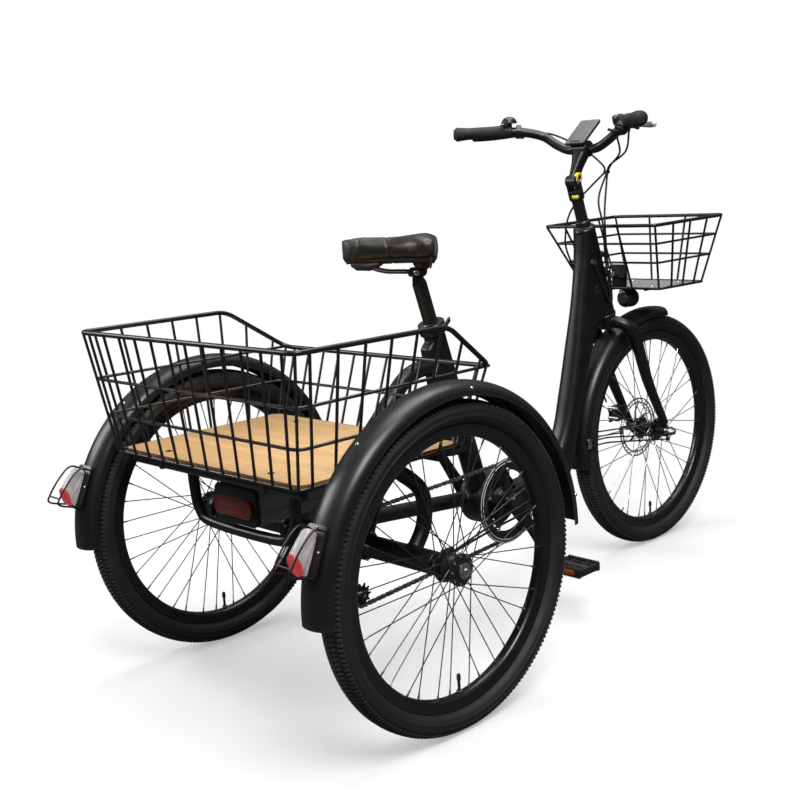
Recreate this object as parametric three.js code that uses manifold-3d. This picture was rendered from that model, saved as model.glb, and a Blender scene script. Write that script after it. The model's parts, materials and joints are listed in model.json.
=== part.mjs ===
// Adult tricycle with two rear wheels, a cargo deck, wire baskets and pedal drive.
// Millimetres. +Z is up, the tricycle faces -Y, and +X is the rider's left.
// The origin is on the ground, under the middle of the tricycle's box.
import * as THREE from "three";
import { mergeVertices } from "three/addons/utils/BufferGeometryUtils.js";
import Module from "manifold-3d";

const wasm = await Module();
wasm.setup();

// Driving dimensions.
const GAP = 0.3;
const WHEEL_RADIUS = 305;
const TYRE_HALF_WIDTH = 27.4;
const RIM_INNER = 238;
const RIM_OUTER = 259;
const REAR_AXLE_Y = 538;
const WHEELBASE = 1156;
const FRONT_AXLE_Y = REAR_AXLE_Y - WHEELBASE;
const HALF_TRACK = 359;
const HEAD_ANGLE = THREE.MathUtils.degToRad(71);
const HEAD_LOW = new THREE.Vector3(0, REAR_AXLE_Y - 970, 630);
const HEAD_LENGTH = 240;
const HEAD_TUBE_RADIUS = 26;
const STEERER_RADIUS = 15;
const STEM_PIVOT_LIFT = 356;
const BRACKET_Y = REAR_AXLE_Y - 505;
const BRACKET_Z = 266;
const CRANK_LENGTH = 170;
const CRANK_TURN = THREE.MathUtils.degToRad(26);
const SEAT_ANGLE = THREE.MathUtils.degToRad(72);
const SEAT_TUBE_SETBACK = 26;
const SEAT_TUBE_RADIUS = 24;
const SEAT_POST_RADIUS = 15.8;
const SEAT_TUBE_LENGTH = 441;
const SEAT_POST_TOP = 546;
const DECK_TOP = 502;
const DECK_THICKNESS = 12;
const DECK_HALF_WIDTH = 274;
const DECK_FRONT_Y = REAR_AXLE_Y - 122;
const DECK_BACK_Y = REAR_AXLE_Y + 267;
const CHAIN_LINE_X = -55;
const CHAIN_HALF_THICKNESS = 4;
const CHAIN_PITCH = 12.7;
const RING_TEETH = 44;
const COG_TEETH = 18;
const JOCKEY_TEETH = 11;

const COLOURS = {
  frame: ["#1d1d1f", 0.45, 0.3],
  satin: ["#202022", 0.4, 0.2],
  rubber: ["#1a1a1a", 0.9, 0],
  plastic: ["#161616", 0.55, 0],
  steel: ["#a8a9ab", 0.35, 0.9],
  alloy: ["#c3c5c7", 0.3, 0.9],
  wood: ["#d9a766", 0.6, 0],
  leather: ["#191817", 0.5, 0],
  tray: ["#c9cac8", 0.5, 0],
  lens: ["#b3162a", 0.2, 0],
  clear: ["#d8d4d4", 0.15, 0],
};

// Solids.

function volumeOf(geometry) {
  const p = geometry.attributes.position;
  const index = geometry.index;
  const corner = [new THREE.Vector3(), new THREE.Vector3(), new THREE.Vector3()];
  let sum = 0;
  for (let i = 0; i < index.count; i += 3) {
    corner.forEach((c, k) => c.fromBufferAttribute(p, index.getX(i + k)));
    sum += corner[0].dot(corner[1].clone().cross(corner[2]));
  }
  return sum / 6;
}

function merged(geometry) {
  const bare = geometry.clone();
  bare.deleteAttribute("normal");
  bare.deleteAttribute("uv");
  const closed = mergeVertices(bare, 1e-4);
  if (volumeOf(closed) < 0) {
    const order = closed.index.array;
    for (let i = 0; i < order.length; i += 3) {
      [order[i], order[i + 1]] = [order[i + 1], order[i]];
    }
  }
  return closed;
}

function solid(geometry) {
  const closed = merged(geometry);
  const mesh = new wasm.Mesh({
    numProp: 3,
    vertProperties: new Float32Array(closed.attributes.position.array),
    triVerts: new Uint32Array(closed.index.array),
  });
  mesh.merge();
  return new wasm.Manifold(mesh);
}

function surface(manifold) {
  const mesh = manifold.getMesh();
  const geometry = new THREE.BufferGeometry();
  geometry.setAttribute("position", new THREE.BufferAttribute(mesh.vertProperties, 3));
  geometry.setIndex(new THREE.BufferAttribute(mesh.triVerts, 1));
  geometry.computeVertexNormals();
  return geometry;
}

function join(...geometries) {
  return surface(geometries.map(solid).reduce((a, b) => a.add(b)));
}

function cut(geometry, ...tools) {
  return surface(tools.map(solid).reduce((a, b) => a.subtract(b), solid(geometry)));
}

// Shapes.

// The corner radius of a faceted bore in which a faceted shaft of this corner radius turns freely.
function boreFor(radius, sides) {
  return (radius + GAP / 2) / Math.cos(Math.PI / sides);
}

function moved(geometry, x, y, z) {
  return geometry.clone().translate(x, y, z);
}

function mirrored(geometry) {
  const other = merged(geometry.clone().scale(-1, 1, 1));
  other.computeVertexNormals();
  return other;
}

function at(x, y, z) {
  return new THREE.Vector3(x, y, z);
}

function rod(from, to, radius, sides = 8, endRadius = radius) {
  const along = to.clone().sub(from);
  const geometry = new THREE.CylinderGeometry(endRadius, radius, along.length(), sides);
  const turn = new THREE.Quaternion().setFromUnitVectors(at(0, 1, 0), along.clone().normalize());
  return geometry.applyQuaternion(turn).translate(...from.clone().add(to).multiplyScalar(0.5).toArray());
}

// A thin straight wire, turned a little about its own length so that no faces of crossing wires line up.
function wireRod(from, to, radius, sides, turn) {
  const start = at(0, 0, 0);
  const straight = rod(start, at(0, to.distanceTo(from), 0), radius, sides).rotateY(turn);
  const way = new THREE.Quaternion().setFromUnitVectors(at(0, 1, 0), to.clone().sub(from).normalize());
  return straight.applyQuaternion(way).translate(from.x, from.y, from.z);
}

function wires(points, radius, sides = 4) {
  const rods = [];
  for (let i = 1; i < points.length; i += 1) {
    const step = points[i].clone().sub(points[i - 1]).setLength(radius * (0.55 + 0.05 * i));
    const [start, end] = [points[i - 1].clone().sub(step), points[i].clone().add(step)];
    rods.push(wireRod(start, end, radius, sides, 0.17 + 0.13 * i));
  }
  return rods;
}

function circle(radius, sides) {
  const shape = new THREE.Shape();
  shape.absarc(0, 0, radius, 0, Math.PI * 2);
  return new THREE.Shape(shape.getPoints(sides).slice(0, -1));
}

function tube(points, radius, { sides = 10, steps = points.length * 4 } = {}) {
  const extrudePath = new THREE.CatmullRomCurve3(points, false, "centripetal");
  return new THREE.ExtrudeGeometry(circle(radius, sides / 2), { steps, extrudePath });
}

function turnedX(profile, segments = 40) {
  const points = profile.map(([radius, x]) => new THREE.Vector2(radius, x));
  return new THREE.LatheGeometry(points, segments).rotateZ(-Math.PI / 2);
}

function turnedZ(profile, segments = 20) {
  const points = profile.map(([radius, z]) => new THREE.Vector2(radius, z));
  return new THREE.LatheGeometry(points, segments).rotateX(Math.PI / 2);
}

function disc(radius, x0, x1, segments = 24) {
  return turnedX([[0, x0], [radius, x0], [radius, x1], [0, x1]], segments);
}

function box(x0, x1, y0, y1, z0, z1) {
  const geometry = new THREE.BoxGeometry(x1 - x0, y1 - y0, z1 - z0);
  return geometry.translate((x0 + x1) / 2, (y0 + y1) / 2, (z0 + z1) / 2);
}

function roundedRectangle(width, depth, radius) {
  const [w, d, r] = [width / 2, depth / 2, radius];
  const shape = new THREE.Shape();
  shape.moveTo(w, -d + r).lineTo(w, d - r);
  shape.absarc(w - r, d - r, r, 0, Math.PI / 2);
  shape.absarc(-w + r, d - r, r, Math.PI / 2, Math.PI);
  shape.absarc(-w + r, -d + r, r, Math.PI, Math.PI * 1.5);
  shape.absarc(w - r, -d + r, r, Math.PI * 1.5, Math.PI * 2);
  return shape;
}

function slab(shape, depth, bevel = 0, curveSegments = 4) {
  const options = { depth: depth - 2 * bevel, curveSegments, bevelEnabled: bevel > 0 };
  Object.assign(options, { bevelSize: bevel, bevelThickness: bevel, bevelSegments: 1, bevelOffset: -bevel });
  return new THREE.ExtrudeGeometry(shape, options).translate(0, 0, bevel - depth / 2);
}

// A shape drawn as (y, z) is extruded along X and centred on x = 0.
function sidePlate(shape, thickness, bevel = 0, curveSegments = 4) {
  const geometry = slab(shape, thickness, bevel, curveSegments);
  return geometry.rotateY(Math.PI / 2).rotateX(Math.PI / 2);
}

class WheelArc extends THREE.Curve {
  constructor(radius, from, to) {
    super();
    Object.assign(this, { radius, from, to });
  }

  getPoint(t, target = new THREE.Vector3()) {
    const angle = THREE.MathUtils.degToRad(this.from + (this.to - this.from) * t);
    return target.set(0, this.radius * Math.cos(angle), this.radius * Math.sin(angle));
  }
}

// Assembly.

const tricycle = new THREE.Group();
tricycle.name = "adult_tricycle";

function finish([color, roughness, metalness]) {
  return new THREE.MeshStandardMaterial({ color, roughness, metalness });
}

function part(name, geometry, look, parent = tricycle) {
  const closed = merged(geometry);
  closed.computeVertexNormals();
  const mesh = new THREE.Mesh(closed, finish(COLOURS[look]));
  mesh.name = name;
  parent.add(mesh);
  return mesh;
}

function steeringPoint(lift, x = 0, forward = 0) {
  const point = at(x, Math.cos(HEAD_ANGLE) * lift, Math.sin(HEAD_ANGLE) * lift).add(HEAD_LOW);
  return point.add(at(0, -Math.sin(HEAD_ANGLE) * forward, Math.cos(HEAD_ANGLE) * forward));
}

function seatPoint(length) {
  const foot = BRACKET_Y + SEAT_TUBE_SETBACK;
  return at(0, foot + Math.cos(SEAT_ANGLE) * length, BRACKET_Z + Math.sin(SEAT_ANGLE) * length);
}

// Wheels.

const TYRE_BASE = RIM_OUTER - 4.6;
const TYRE_SECTION = [
  [TYRE_BASE, 9.6], [RIM_OUTER + 0.4, 9.6], [268, 23], [279, TYRE_HALF_WIDTH], [296, 19.5], [WHEEL_RADIUS, 6],
];
const RIM_SECTION = [
  [RIM_INNER, 8], [RIM_OUTER, 13.4], [RIM_OUTER, 10.2], [TYRE_BASE - GAP, 10.2],
];

function ring(halfSection, segments) {
  const other = halfSection.map(([radius, x]) => [radius, -x]).reverse();
  return turnedX([...halfSection, ...other, halfSection[0]], segments);
}

const WHEEL_FACETS = 24;
const SPOKES = 16;
const SPOKE_RADIUS = 1.1;
const FLANGE_RADIUS = 29;
const SPOKE_SWEEP = THREE.MathUtils.degToRad(58);

function spokes(flangeX) {
  const list = [];
  const rimReach = RIM_INNER * Math.cos(Math.PI / WHEEL_FACETS) - 2 * GAP;
  for (let i = 0; i < SPOKES; i += 1) {
    const rimAngle = (i * 2 * Math.PI) / SPOKES;
    const side = i % 2 ? 1 : -1;
    const lead = i % 4 < 2 ? 1 : -1;
    const hubAngle = rimAngle + lead * SPOKE_SWEEP;
    const hubReach = FLANGE_RADIUS - 3;
    const low = at(side * flangeX + lead * 1.6, hubReach * Math.cos(hubAngle), hubReach * Math.sin(hubAngle));
    const high = at(side * 4, rimReach * Math.cos(rimAngle), rimReach * Math.sin(rimAngle));
    list.push(rod(low, high, SPOKE_RADIUS, 3));
  }
  return list;
}

function hubBody(flangeX, coreRadius, end) {
  return turnedX([
    [0, -end], [12, -end], [12, -flangeX - 4], [FLANGE_RADIUS, -flangeX - 3], [FLANGE_RADIUS, -flangeX + 3],
    [coreRadius, -flangeX + 4], [coreRadius, flangeX - 4], [FLANGE_RADIUS, flangeX - 3],
    [FLANGE_RADIUS, flangeX + 3], [12, flangeX + 4], [12, end], [0, end],
  ], 10);
}

function wheel(name, x, y, hub) {
  const group = new THREE.Group();
  group.position.set(x, y, WHEEL_RADIUS);
  part(`${name}_tyre`, ring(TYRE_SECTION, WHEEL_FACETS), "rubber", group);
  part(`${name}_rim`, ring(RIM_SECTION, WHEEL_FACETS), "satin", group);
  part(`${name}_hub`, hub, "satin", group);
  tricycle.add(group);
  return group;
}

const HALF_SHAFT_RADIUS = 8;
const HALF_SHAFT_REACH = 350;
const HALF_SHAFT_BORE = boreFor(HALF_SHAFT_RADIUS, 10);

function rearHub(side) {
  const shaft = rod(at(-side * HALF_SHAFT_REACH, 0, 0), at(side * 38, 0, 0), HALF_SHAFT_RADIUS, 10);
  const nut = rod(at(side * 30, 0, 0), at(side * 37, 0, 0), 12, 6);
  return join(hubBody(19, 17, 26), shaft, nut, ...spokes(19));
}

const ROTOR_X = 36;
const ROTOR_RADIUS = 80;

function rotor() {
  const plate = disc(ROTOR_RADIUS, ROTOR_X - 1, ROTOR_X + 1, 24);
  const windows = [];
  const count = 6;
  for (let i = 0; i < count; i += 1) {
    const angle = (i * 2 * Math.PI) / count;
    windows.push(moved(disc(17, ROTOR_X - 3, ROTOR_X + 3, 6), 0, 46 * Math.cos(angle), 46 * Math.sin(angle)));
  }
  return cut(plate, disc(22, ROTOR_X - 3, ROTOR_X + 3, 12), ...windows);
}

const FRONT_AXLE_RADIUS = 5;

function addWheels() {
  wheel("rear_left", HALF_TRACK, REAR_AXLE_Y, rearHub(1));
  wheel("rear_right", -HALF_TRACK, REAR_AXLE_Y, rearHub(-1));
  const bore = disc(boreFor(FRONT_AXLE_RADIUS, 8), -60, 60, 8);
  const seat = disc(21, 31, 41, 12);
  const hub = cut(join(hubBody(24, 18, 34), seat, ...spokes(24)), bore);
  const front = wheel("front", 0, FRONT_AXLE_Y, hub);
  part("brake_rotor", rotor(), "steel", front);
}

// Fork, front fender and front brake.

const DROPOUT_X = 57;
const STEERER_BORE = boreFor(STEERER_RADIUS, 12);

function forkLeg(side) {
  const crown = steeringPoint(-16, side * 30);
  const shoulder = steeringPoint(-34, side * 56, 12);
  const elbow = steeringPoint(-66, side * (DROPOUT_X + 2), 24);
  const knee = at(side * DROPOUT_X, FRONT_AXLE_Y + 88, 455);
  const foot = at(side * DROPOUT_X, FRONT_AXLE_Y, WHEEL_RADIUS);
  return tube([crown, shoulder, elbow, knee, foot], 13, { sides: 6, steps: 10 });
}

function fork() {
  const steerer = rod(steeringPoint(-20), steeringPoint(HEAD_LENGTH - 2), STEERER_RADIUS, 12);
  const crown = rod(steeringPoint(-30), steeringPoint(-GAP), 24, 12);
  const crossbar = rod(steeringPoint(-17, -36), steeringPoint(-17, 36), 12, 6);
  const dropouts = [-1, 1].map((side) => {
    const lug = disc(17, -5, 5, 8);
    return moved(lug, side * (DROPOUT_X - 8), FRONT_AXLE_Y, WHEEL_RADIUS);
  });
  const bore = moved(disc(boreFor(FRONT_AXLE_RADIUS, 8), -90, 90, 8), 0, FRONT_AXLE_Y, WHEEL_RADIUS);
  const wheelRoom = moved(disc(WHEEL_RADIUS - 40, -43.7, 43.7, 12), 0, FRONT_AXLE_Y, WHEEL_RADIUS);
  const whole = join(steerer, crown, crossbar, forkLeg(1), forkLeg(-1), ...dropouts);
  return cut(whole, bore, wheelRoom);
}

function frontAxle() {
  const shaft = rod(at(-82, 0, 0), at(82, 0, 0), FRONT_AXLE_RADIUS, 8);
  const nuts = [-1, 1].map((side) => rod(at(side * 70.8, 0, 0), at(side * 79, 0, 0), 9.5, 6));
  return moved(join(shaft, ...nuts), 0, FRONT_AXLE_Y, WHEEL_RADIUS);
}

// A curved channel over a wheel: width across, depth of its skirts, and wall thickness.
function fenderShell(radius, width, depth, from, to, steps) {
  const half = width / 2;
  const wall = 2;
  const outer = [];
  const inner = [];
  const facets = 4;
  for (let i = 0; i <= facets; i += 1) {
    const angle = (i * Math.PI) / facets;
    outer.push(new THREE.Vector2(half * Math.cos(angle), depth - depth * Math.sin(angle)));
    inner.push(new THREE.Vector2((half - wall) * Math.cos(angle), depth - (depth - wall) * Math.sin(angle)));
  }
  const shape = new THREE.Shape([...outer, ...inner.reverse()]);
  return new THREE.ExtrudeGeometry(shape, { steps, extrudePath: new WheelArc(radius, from, to) });
}

const FRONT_FENDER_RADIUS = 327;

function frontFender() {
  const shell = moved(fenderShell(FRONT_FENDER_RADIUS, 66, 22, -8, 99, 10), 0, FRONT_AXLE_Y, WHEEL_RADIUS);
  const crownWay = steeringPoint(-30).sub(at(0, FRONT_AXLE_Y, WHEEL_RADIUS)).normalize();
  const onCrown = (radius) => at(0, FRONT_AXLE_Y, WHEEL_RADIUS).addScaledVector(crownWay, radius);
  const crownTab = rod(onCrown(FRONT_FENDER_RADIUS - 2), steeringPoint(-28), 8, 6);
  const stays = [-1, 1].map((side) => {
    const foot = at(side * (DROPOUT_X + 16), FRONT_AXLE_Y + 22, WHEEL_RADIUS - 6);
    const low = at(side * 31.6, FRONT_AXLE_Y + FRONT_FENDER_RADIUS - 17, WHEEL_RADIUS + 24);
    return rod(foot, low, 2.2, 4);
  });
  return join(shell, ...stays, crownTab);
}

function caliper() {
  const body = box(26, 60, FRONT_AXLE_Y + 58, FRONT_AXLE_Y + 100, 338, 382);
  const slot = box(ROTOR_X - 2.5, ROTOR_X + 2.5, FRONT_AXLE_Y, FRONT_AXLE_Y + 84, 300, 400);
  const legRoom = tube([
    at(DROPOUT_X, FRONT_AXLE_Y + 88, 455),
    at(DROPOUT_X, FRONT_AXLE_Y + 40, 372),
    at(DROPOUT_X, FRONT_AXLE_Y, 305),
  ], 14.5, { sides: 8, steps: 6 });
  return cut(body, slot, legRoom);
}

function caliperArm() {
  const plate = box(62.5, 66.5, FRONT_AXLE_Y + 72, FRONT_AXLE_Y + 88, 330, 372);
  const pivot = rod(at(60.4, FRONT_AXLE_Y + 80, 362), at(70, FRONT_AXLE_Y + 80, 362), 7, 10);
  return join(plate, pivot);
}

function addSteering() {
  const lower = turnedZ([[STEERER_BORE, GAP], [28, GAP], [28, 8 - GAP], [STEERER_BORE, 8 - GAP],
    [STEERER_BORE, GAP]], 12);
  const head = new THREE.Group();
  head.position.copy(HEAD_LOW);
  head.rotation.x = HEAD_ANGLE - Math.PI / 2;
  part("headset_lower", lower, "satin", head);
  const top = HEAD_LENGTH - 8;
  const upper = turnedZ([[STEERER_BORE, top + GAP], [27.5, top + GAP], [24, top + 9],
    [STEERER_BORE, top + 9], [STEERER_BORE, top + GAP]], 12);
  part("headset_upper", upper, "satin", head);
  tricycle.add(head);
  part("fork", fork(), "satin");
  part("front_axle", frontAxle(), "steel");
  part("front_fender", cut(frontFender(), forkRoom()), "plastic");
  part("brake_caliper", caliper(), "satin");
  part("caliper_arm", caliperArm(), "satin");
}

function forkRoom() {
  return rod(steeringPoint(-30 - GAP), steeringPoint(0), 32, 12);
}

// Stem, handlebar and controls.

const STEM_PIVOT = steeringPoint(STEM_PIVOT_LIFT);
const BAR_CENTRE = at(0, REAR_AXLE_Y - 893, 1042);
const BAR_RADIUS = 11;
const GRIP_INNER = at(182, REAR_AXLE_Y - 823, 1095);
const GRIP_OUTER = at(272, REAR_AXLE_Y - 739, 1095);
const GRIP_WAY = GRIP_OUTER.clone().sub(GRIP_INNER).normalize();

function stemPost() {
  const shaft = rod(steeringPoint(HEAD_LENGTH + 2), steeringPoint(STEM_PIVOT_LIFT - 34), 14.3, 16);
  const shoulder = rod(steeringPoint(STEM_PIVOT_LIFT - 44), steeringPoint(STEM_PIVOT_LIFT - 24), 18, 16);
  const ears = [-1, 1].map((side) => {
    const ear = disc(15, side * 9.5, side * 14, 12);
    const cheek = (low, high, radius, sides) => rod(
      steeringPoint(STEM_PIVOT_LIFT + low, side * 11.7),
      steeringPoint(STEM_PIVOT_LIFT + high, side * 11.7), radius, sides);
    return join(moved(ear, 0, STEM_PIVOT.y, STEM_PIVOT.z), cheek(-26, 0, 2.3, 8), cheek(-30, -2, 2.25, 4));
  });
  const pin = moved(disc(4, -14, 14, 8), 0, STEM_PIVOT.y, STEM_PIVOT.z);
  return join(shaft, shoulder, ...ears, pin);
}

function stemArm() {
  const eye = moved(disc(14, -9, 9, 16), 0, STEM_PIVOT.y, STEM_PIVOT.z);
  const arm = rod(STEM_PIVOT, BAR_CENTRE, 8.8, 12, 12);
  const clamp = moved(disc(19, -22, 22, 18), 0, BAR_CENTRE.y, BAR_CENTRE.z);
  const bore = moved(disc(boreFor(4, 8), -30, 30, 8), 0, STEM_PIVOT.y, STEM_PIVOT.z);
  const barBore = moved(disc(BAR_RADIUS + 1.6, -30, 30, 12), 0, BAR_CENTRE.y, BAR_CENTRE.z);
  return cut(join(eye, arm, clamp), bore, barBore);
}

const BAR_LEFT = [
  BAR_CENTRE,
  at(40, BAR_CENTRE.y, BAR_CENTRE.z),
  at(74, BAR_CENTRE.y + 2, 1056),
  at(112, BAR_CENTRE.y + 8, 1079),
  at(150, REAR_AXLE_Y - 851, 1092), GRIP_INNER,
];

function handlebar() {
  const right = BAR_LEFT.slice(1).map((p) => at(-p.x, p.y, p.z)).reverse();
  const bend = tube([...right, ...BAR_LEFT], BAR_RADIUS, { sides: 6, steps: 20 });
  const end = GRIP_OUTER.clone().addScaledVector(GRIP_WAY, -6);
  const start = GRIP_INNER.clone().addScaledVector(GRIP_WAY, -4);
  const straight = rod(start, end, BAR_RADIUS, 6);
  return join(bend, straight, mirrored(straight));
}

function alongGrip(geometry, distance = 0) {
  const turn = new THREE.Quaternion().setFromUnitVectors(at(0, 0, 1), GRIP_WAY);
  const start = GRIP_INNER.clone().addScaledVector(GRIP_WAY, distance);
  return geometry.clone().applyQuaternion(turn).translate(...start.toArray());
}

function grip() {
  const length = GRIP_OUTER.distanceTo(GRIP_INNER);
  const bore = BAR_RADIUS + 2 * GAP;
  const body = turnedZ([[bore, 0], [16.5, 0], [15.4, 40], [17.6, length - 8],
    [15, length], [0, length], [0, length - 4], [bore, length - 4], [bore, 0]], 12);
  return alongGrip(body);
}

const BAR_CURVE = new THREE.CatmullRomCurve3(BAR_LEFT, false, "centripetal");

// A point on the left half of the bar, measured back from the grip, and the bar's direction there.
function onBar(distance) {
  const share = 1 - distance / BAR_CURVE.getLength();
  return { spot: BAR_CURVE.getPointAt(share), way: BAR_CURVE.getTangentAt(share) };
}

function collarAt(distance, radius, length, sides = 10) {
  const { spot, way } = onBar(distance);
  const reach = way.clone().multiplyScalar(length / 2);
  return rod(spot.clone().sub(reach), spot.clone().add(reach), radius, sides);
}

const PERCH_DISTANCE = 34;
const LEVER_PIVOT = onBar(PERCH_DISTANCE).spot.add(at(14, -30, -5));

function upright(spot, low, high, radius, sides) {
  return rod(spot.clone().add(at(0, 0, low)), spot.clone().add(at(0, 0, high)), radius, sides);
}

function leverPerch() {
  const neck = rod(onBar(PERCH_DISTANCE).spot.lerp(LEVER_PIVOT, 0.45), LEVER_PIVOT, 8, 6);
  const body = join(collarAt(PERCH_DISTANCE, 17, 12), neck, upright(LEVER_PIVOT, -9, 9, 9, 8));
  const barRoom = collarAt(PERCH_DISTANCE, BAR_RADIUS + 2.2, 40, 8);
  return join(cut(body, barRoom, upright(LEVER_PIVOT, -4, 4, 15, 8)), upright(LEVER_PIVOT, -8, 8, 2.6, 6));
}

function brakeLever() {
  const tip = LEVER_PIVOT.clone().addScaledVector(GRIP_WAY, 118).add(at(2, 2, -6));
  const middle = LEVER_PIVOT.clone().addScaledVector(GRIP_WAY, 58).add(at(4, -8, -3));
  const blade = tube([LEVER_PIVOT, middle, tip], 3.6, { sides: 6, steps: 6 });
  const eye = upright(LEVER_PIVOT, -3.6, 3.6, 7.5, 10);
  return cut(join(blade, eye), upright(LEVER_PIVOT, -9, 9, boreFor(2.6, 6), 6));
}

const BELL_DISTANCE = 12;

function bell() {
  const { spot } = onBar(BELL_DISTANCE);
  const dome = turnedZ([[0, 20], [19, 20], [19, 24], [15, 32], [0, 37]], 12);
  const foot = upright(spot, 0, 24, 6, 6);
  return cut(join(collarAt(BELL_DISTANCE, 15.5, 11), foot, moved(dome, spot.x, spot.y, spot.z)),
    collarAt(BELL_DISTANCE, BAR_RADIUS + 2, 30, 8));
}

function bellLever() {
  const pivot = onBar(BELL_DISTANCE).spot.add(at(-3, 16, 16));
  const tab = box(pivot.x - 5, pivot.x + 5, pivot.y, pivot.y + 18, pivot.z - 2, pivot.z + 2);
  return join(tab, upright(pivot, -3, 3, 5, 8));
}

const SHIFTER_DISTANCE = 12;
const SHIFTER_WAY = at(0, 20, -14).normalize();

function shifterPoint(reach) {
  const { spot } = onBar(SHIFTER_DISTANCE);
  return at(-spot.x, spot.y, spot.z).addScaledVector(SHIFTER_WAY, reach);
}

function shifter() {
  const pod = rod(shifterPoint(10), shifterPoint(32), 16, 12);
  const collar = mirrored(collarAt(SHIFTER_DISTANCE, 17.5, 16));
  return cut(join(collar, pod), mirrored(collarAt(SHIFTER_DISTANCE, BAR_RADIUS + 2.2, 50, 8)),
    mirrored(rod(GRIP_INNER, GRIP_OUTER, 19, 10)));
}

function shifterLever() {
  const cap = rod(shifterPoint(32.4), shifterPoint(38), 12, 12);
  const paddle = rod(shifterPoint(36.5), shifterPoint(36.5).add(at(24, 8, 5.6)), 3.4, 6);
  return join(cap, paddle);
}

const DISPLAY_TILT = 38;

function display() {
  const panel = slab(roundedRectangle(58, 90, 8), 7).rotateX(THREE.MathUtils.degToRad(-DISPLAY_TILT));
  return moved(panel, 0, BAR_CENTRE.y - 4, BAR_CENTRE.z + 39);
}

function addControls() {
  part("stem_post", stemPost(), "satin");
  part("stem_arm", stemArm(), "satin");
  part("handlebar", handlebar(), "satin");
  part("grip_left", grip(), "rubber");
  part("grip_right", mirrored(grip()), "rubber");
  part("lever_perch_left", leverPerch(), "satin");
  part("lever_perch_right", mirrored(leverPerch()), "satin");
  part("brake_lever_left", brakeLever(), "satin");
  part("brake_lever_right", mirrored(brakeLever()), "alloy");
  part("bell", bell(), "satin");
  part("bell_lever", bellLever(), "plastic");
  part("shifter", shifter(), "plastic");
  part("shifter_lever", shifterLever(), "plastic");
  part("display", display(), "steel");
}

// Main frame.

const AXLE_HOUSING_RADIUS = 22;
const SPINDLE_RADIUS = 12;
const SEAT_POST_BORE = boreFor(SEAT_POST_RADIUS, 12);
const HOUSING_END_X = HALF_TRACK - 38.5;
const HOUSING_RIGHT_INNER_X = CHAIN_LINE_X - 50;
const HOUSING_LEFT_INNER_X = 20;
const RAIL_Z = DECK_TOP - DECK_THICKNESS - GAP - 10;
const RAIL_X = 158;
const RAIL_RADIUS = 10;

function bladeOutline() {
  const rear = (z, back) => new THREE.Vector2(REAR_AXLE_Y - back, z);
  const shape = new THREE.Shape();
  shape.moveTo(REAR_AXLE_Y - 872, 852);
  shape.splineThru([rear(780, 866), rear(680, 848), rear(574, 825), rear(461, 796), rear(368, 765),
    rear(305, 715), rear(285, 620), rear(288, 505)]);
  shape.lineTo(BRACKET_Y, 236);
  shape.splineThru([rear(214, 640), rear(222, 735), rear(268, 792), rear(340, 820), rear(430, 846),
    rear(530, 880), rear(600, 912)]);
  shape.lineTo(HEAD_LOW.y + 3, HEAD_LOW.z + 12);
  shape.lineTo(REAR_AXLE_Y - 896, 850);
  return shape;
}

function headAssembly() {
  const headTube = rod(steeringPoint(8), steeringPoint(HEAD_LENGTH - 8), HEAD_TUBE_RADIUS, 14);
  const blade = sidePlate(bladeOutline(), 50, 8, 2);
  return join(headTube, blade);
}

function bracketShell() {
  const shell = disc(27, -42, 42, 14);
  const casting = disc(62, -34, 40, 14);
  return moved(join(shell, casting), 0, BRACKET_Y, BRACKET_Z);
}

function spine() {
  const low = seatPoint(20);
  const tubeTop = seatPoint(SEAT_TUBE_LENGTH);
  const seatTube = rod(low, tubeTop, SEAT_TUBE_RADIUS, 14);
  const shoulder = seatPoint(350);
  const arch = tube([shoulder, at(0, REAR_AXLE_Y - 270, 586), at(0, REAR_AXLE_Y - 205, 535),
    at(0, REAR_AXLE_Y - 165, 497), at(0, REAR_AXLE_Y - 130, 474), at(0, REAR_AXLE_Y - 60, 471)], 18,
  { sides: 8, steps: 9 });
  const under = rod(at(0, REAR_AXLE_Y - 70, 468), at(0, REAR_AXLE_Y + 40, 468), 12, 8);
  return [seatTube, arch, under];
}

function rack() {
  const rails = [-1, 1].map((side) => rod(
    at(side * RAIL_X, DECK_FRONT_Y + 8, RAIL_Z), at(side * RAIL_X, DECK_BACK_Y - 8, RAIL_Z), RAIL_RADIUS, 6));
  const bars = [DECK_FRONT_Y + 40, REAR_AXLE_Y + 30, DECK_BACK_Y - 20].map((y) => rod(
    at(-DECK_HALF_WIDTH + 14, y, RAIL_Z), at(DECK_HALF_WIDTH - 14, y, RAIL_Z), RAIL_RADIUS, 6));
  return [...rails, ...bars];
}

function batteryLoop() {
  const y = REAR_AXLE_Y + 187;
  const half = [
    at(RAIL_X, y, RAIL_Z),
    at(RAIL_X - 2, y, 425),
    at(RAIL_X - 14, y, 378),
    at(RAIL_X - 58, y, 357),
  ];
  const other = half.map((p) => at(-p.x, p.y, p.z)).reverse();
  return tube([...half, ...other], 11, { sides: 6, steps: 12 });
}

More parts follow.
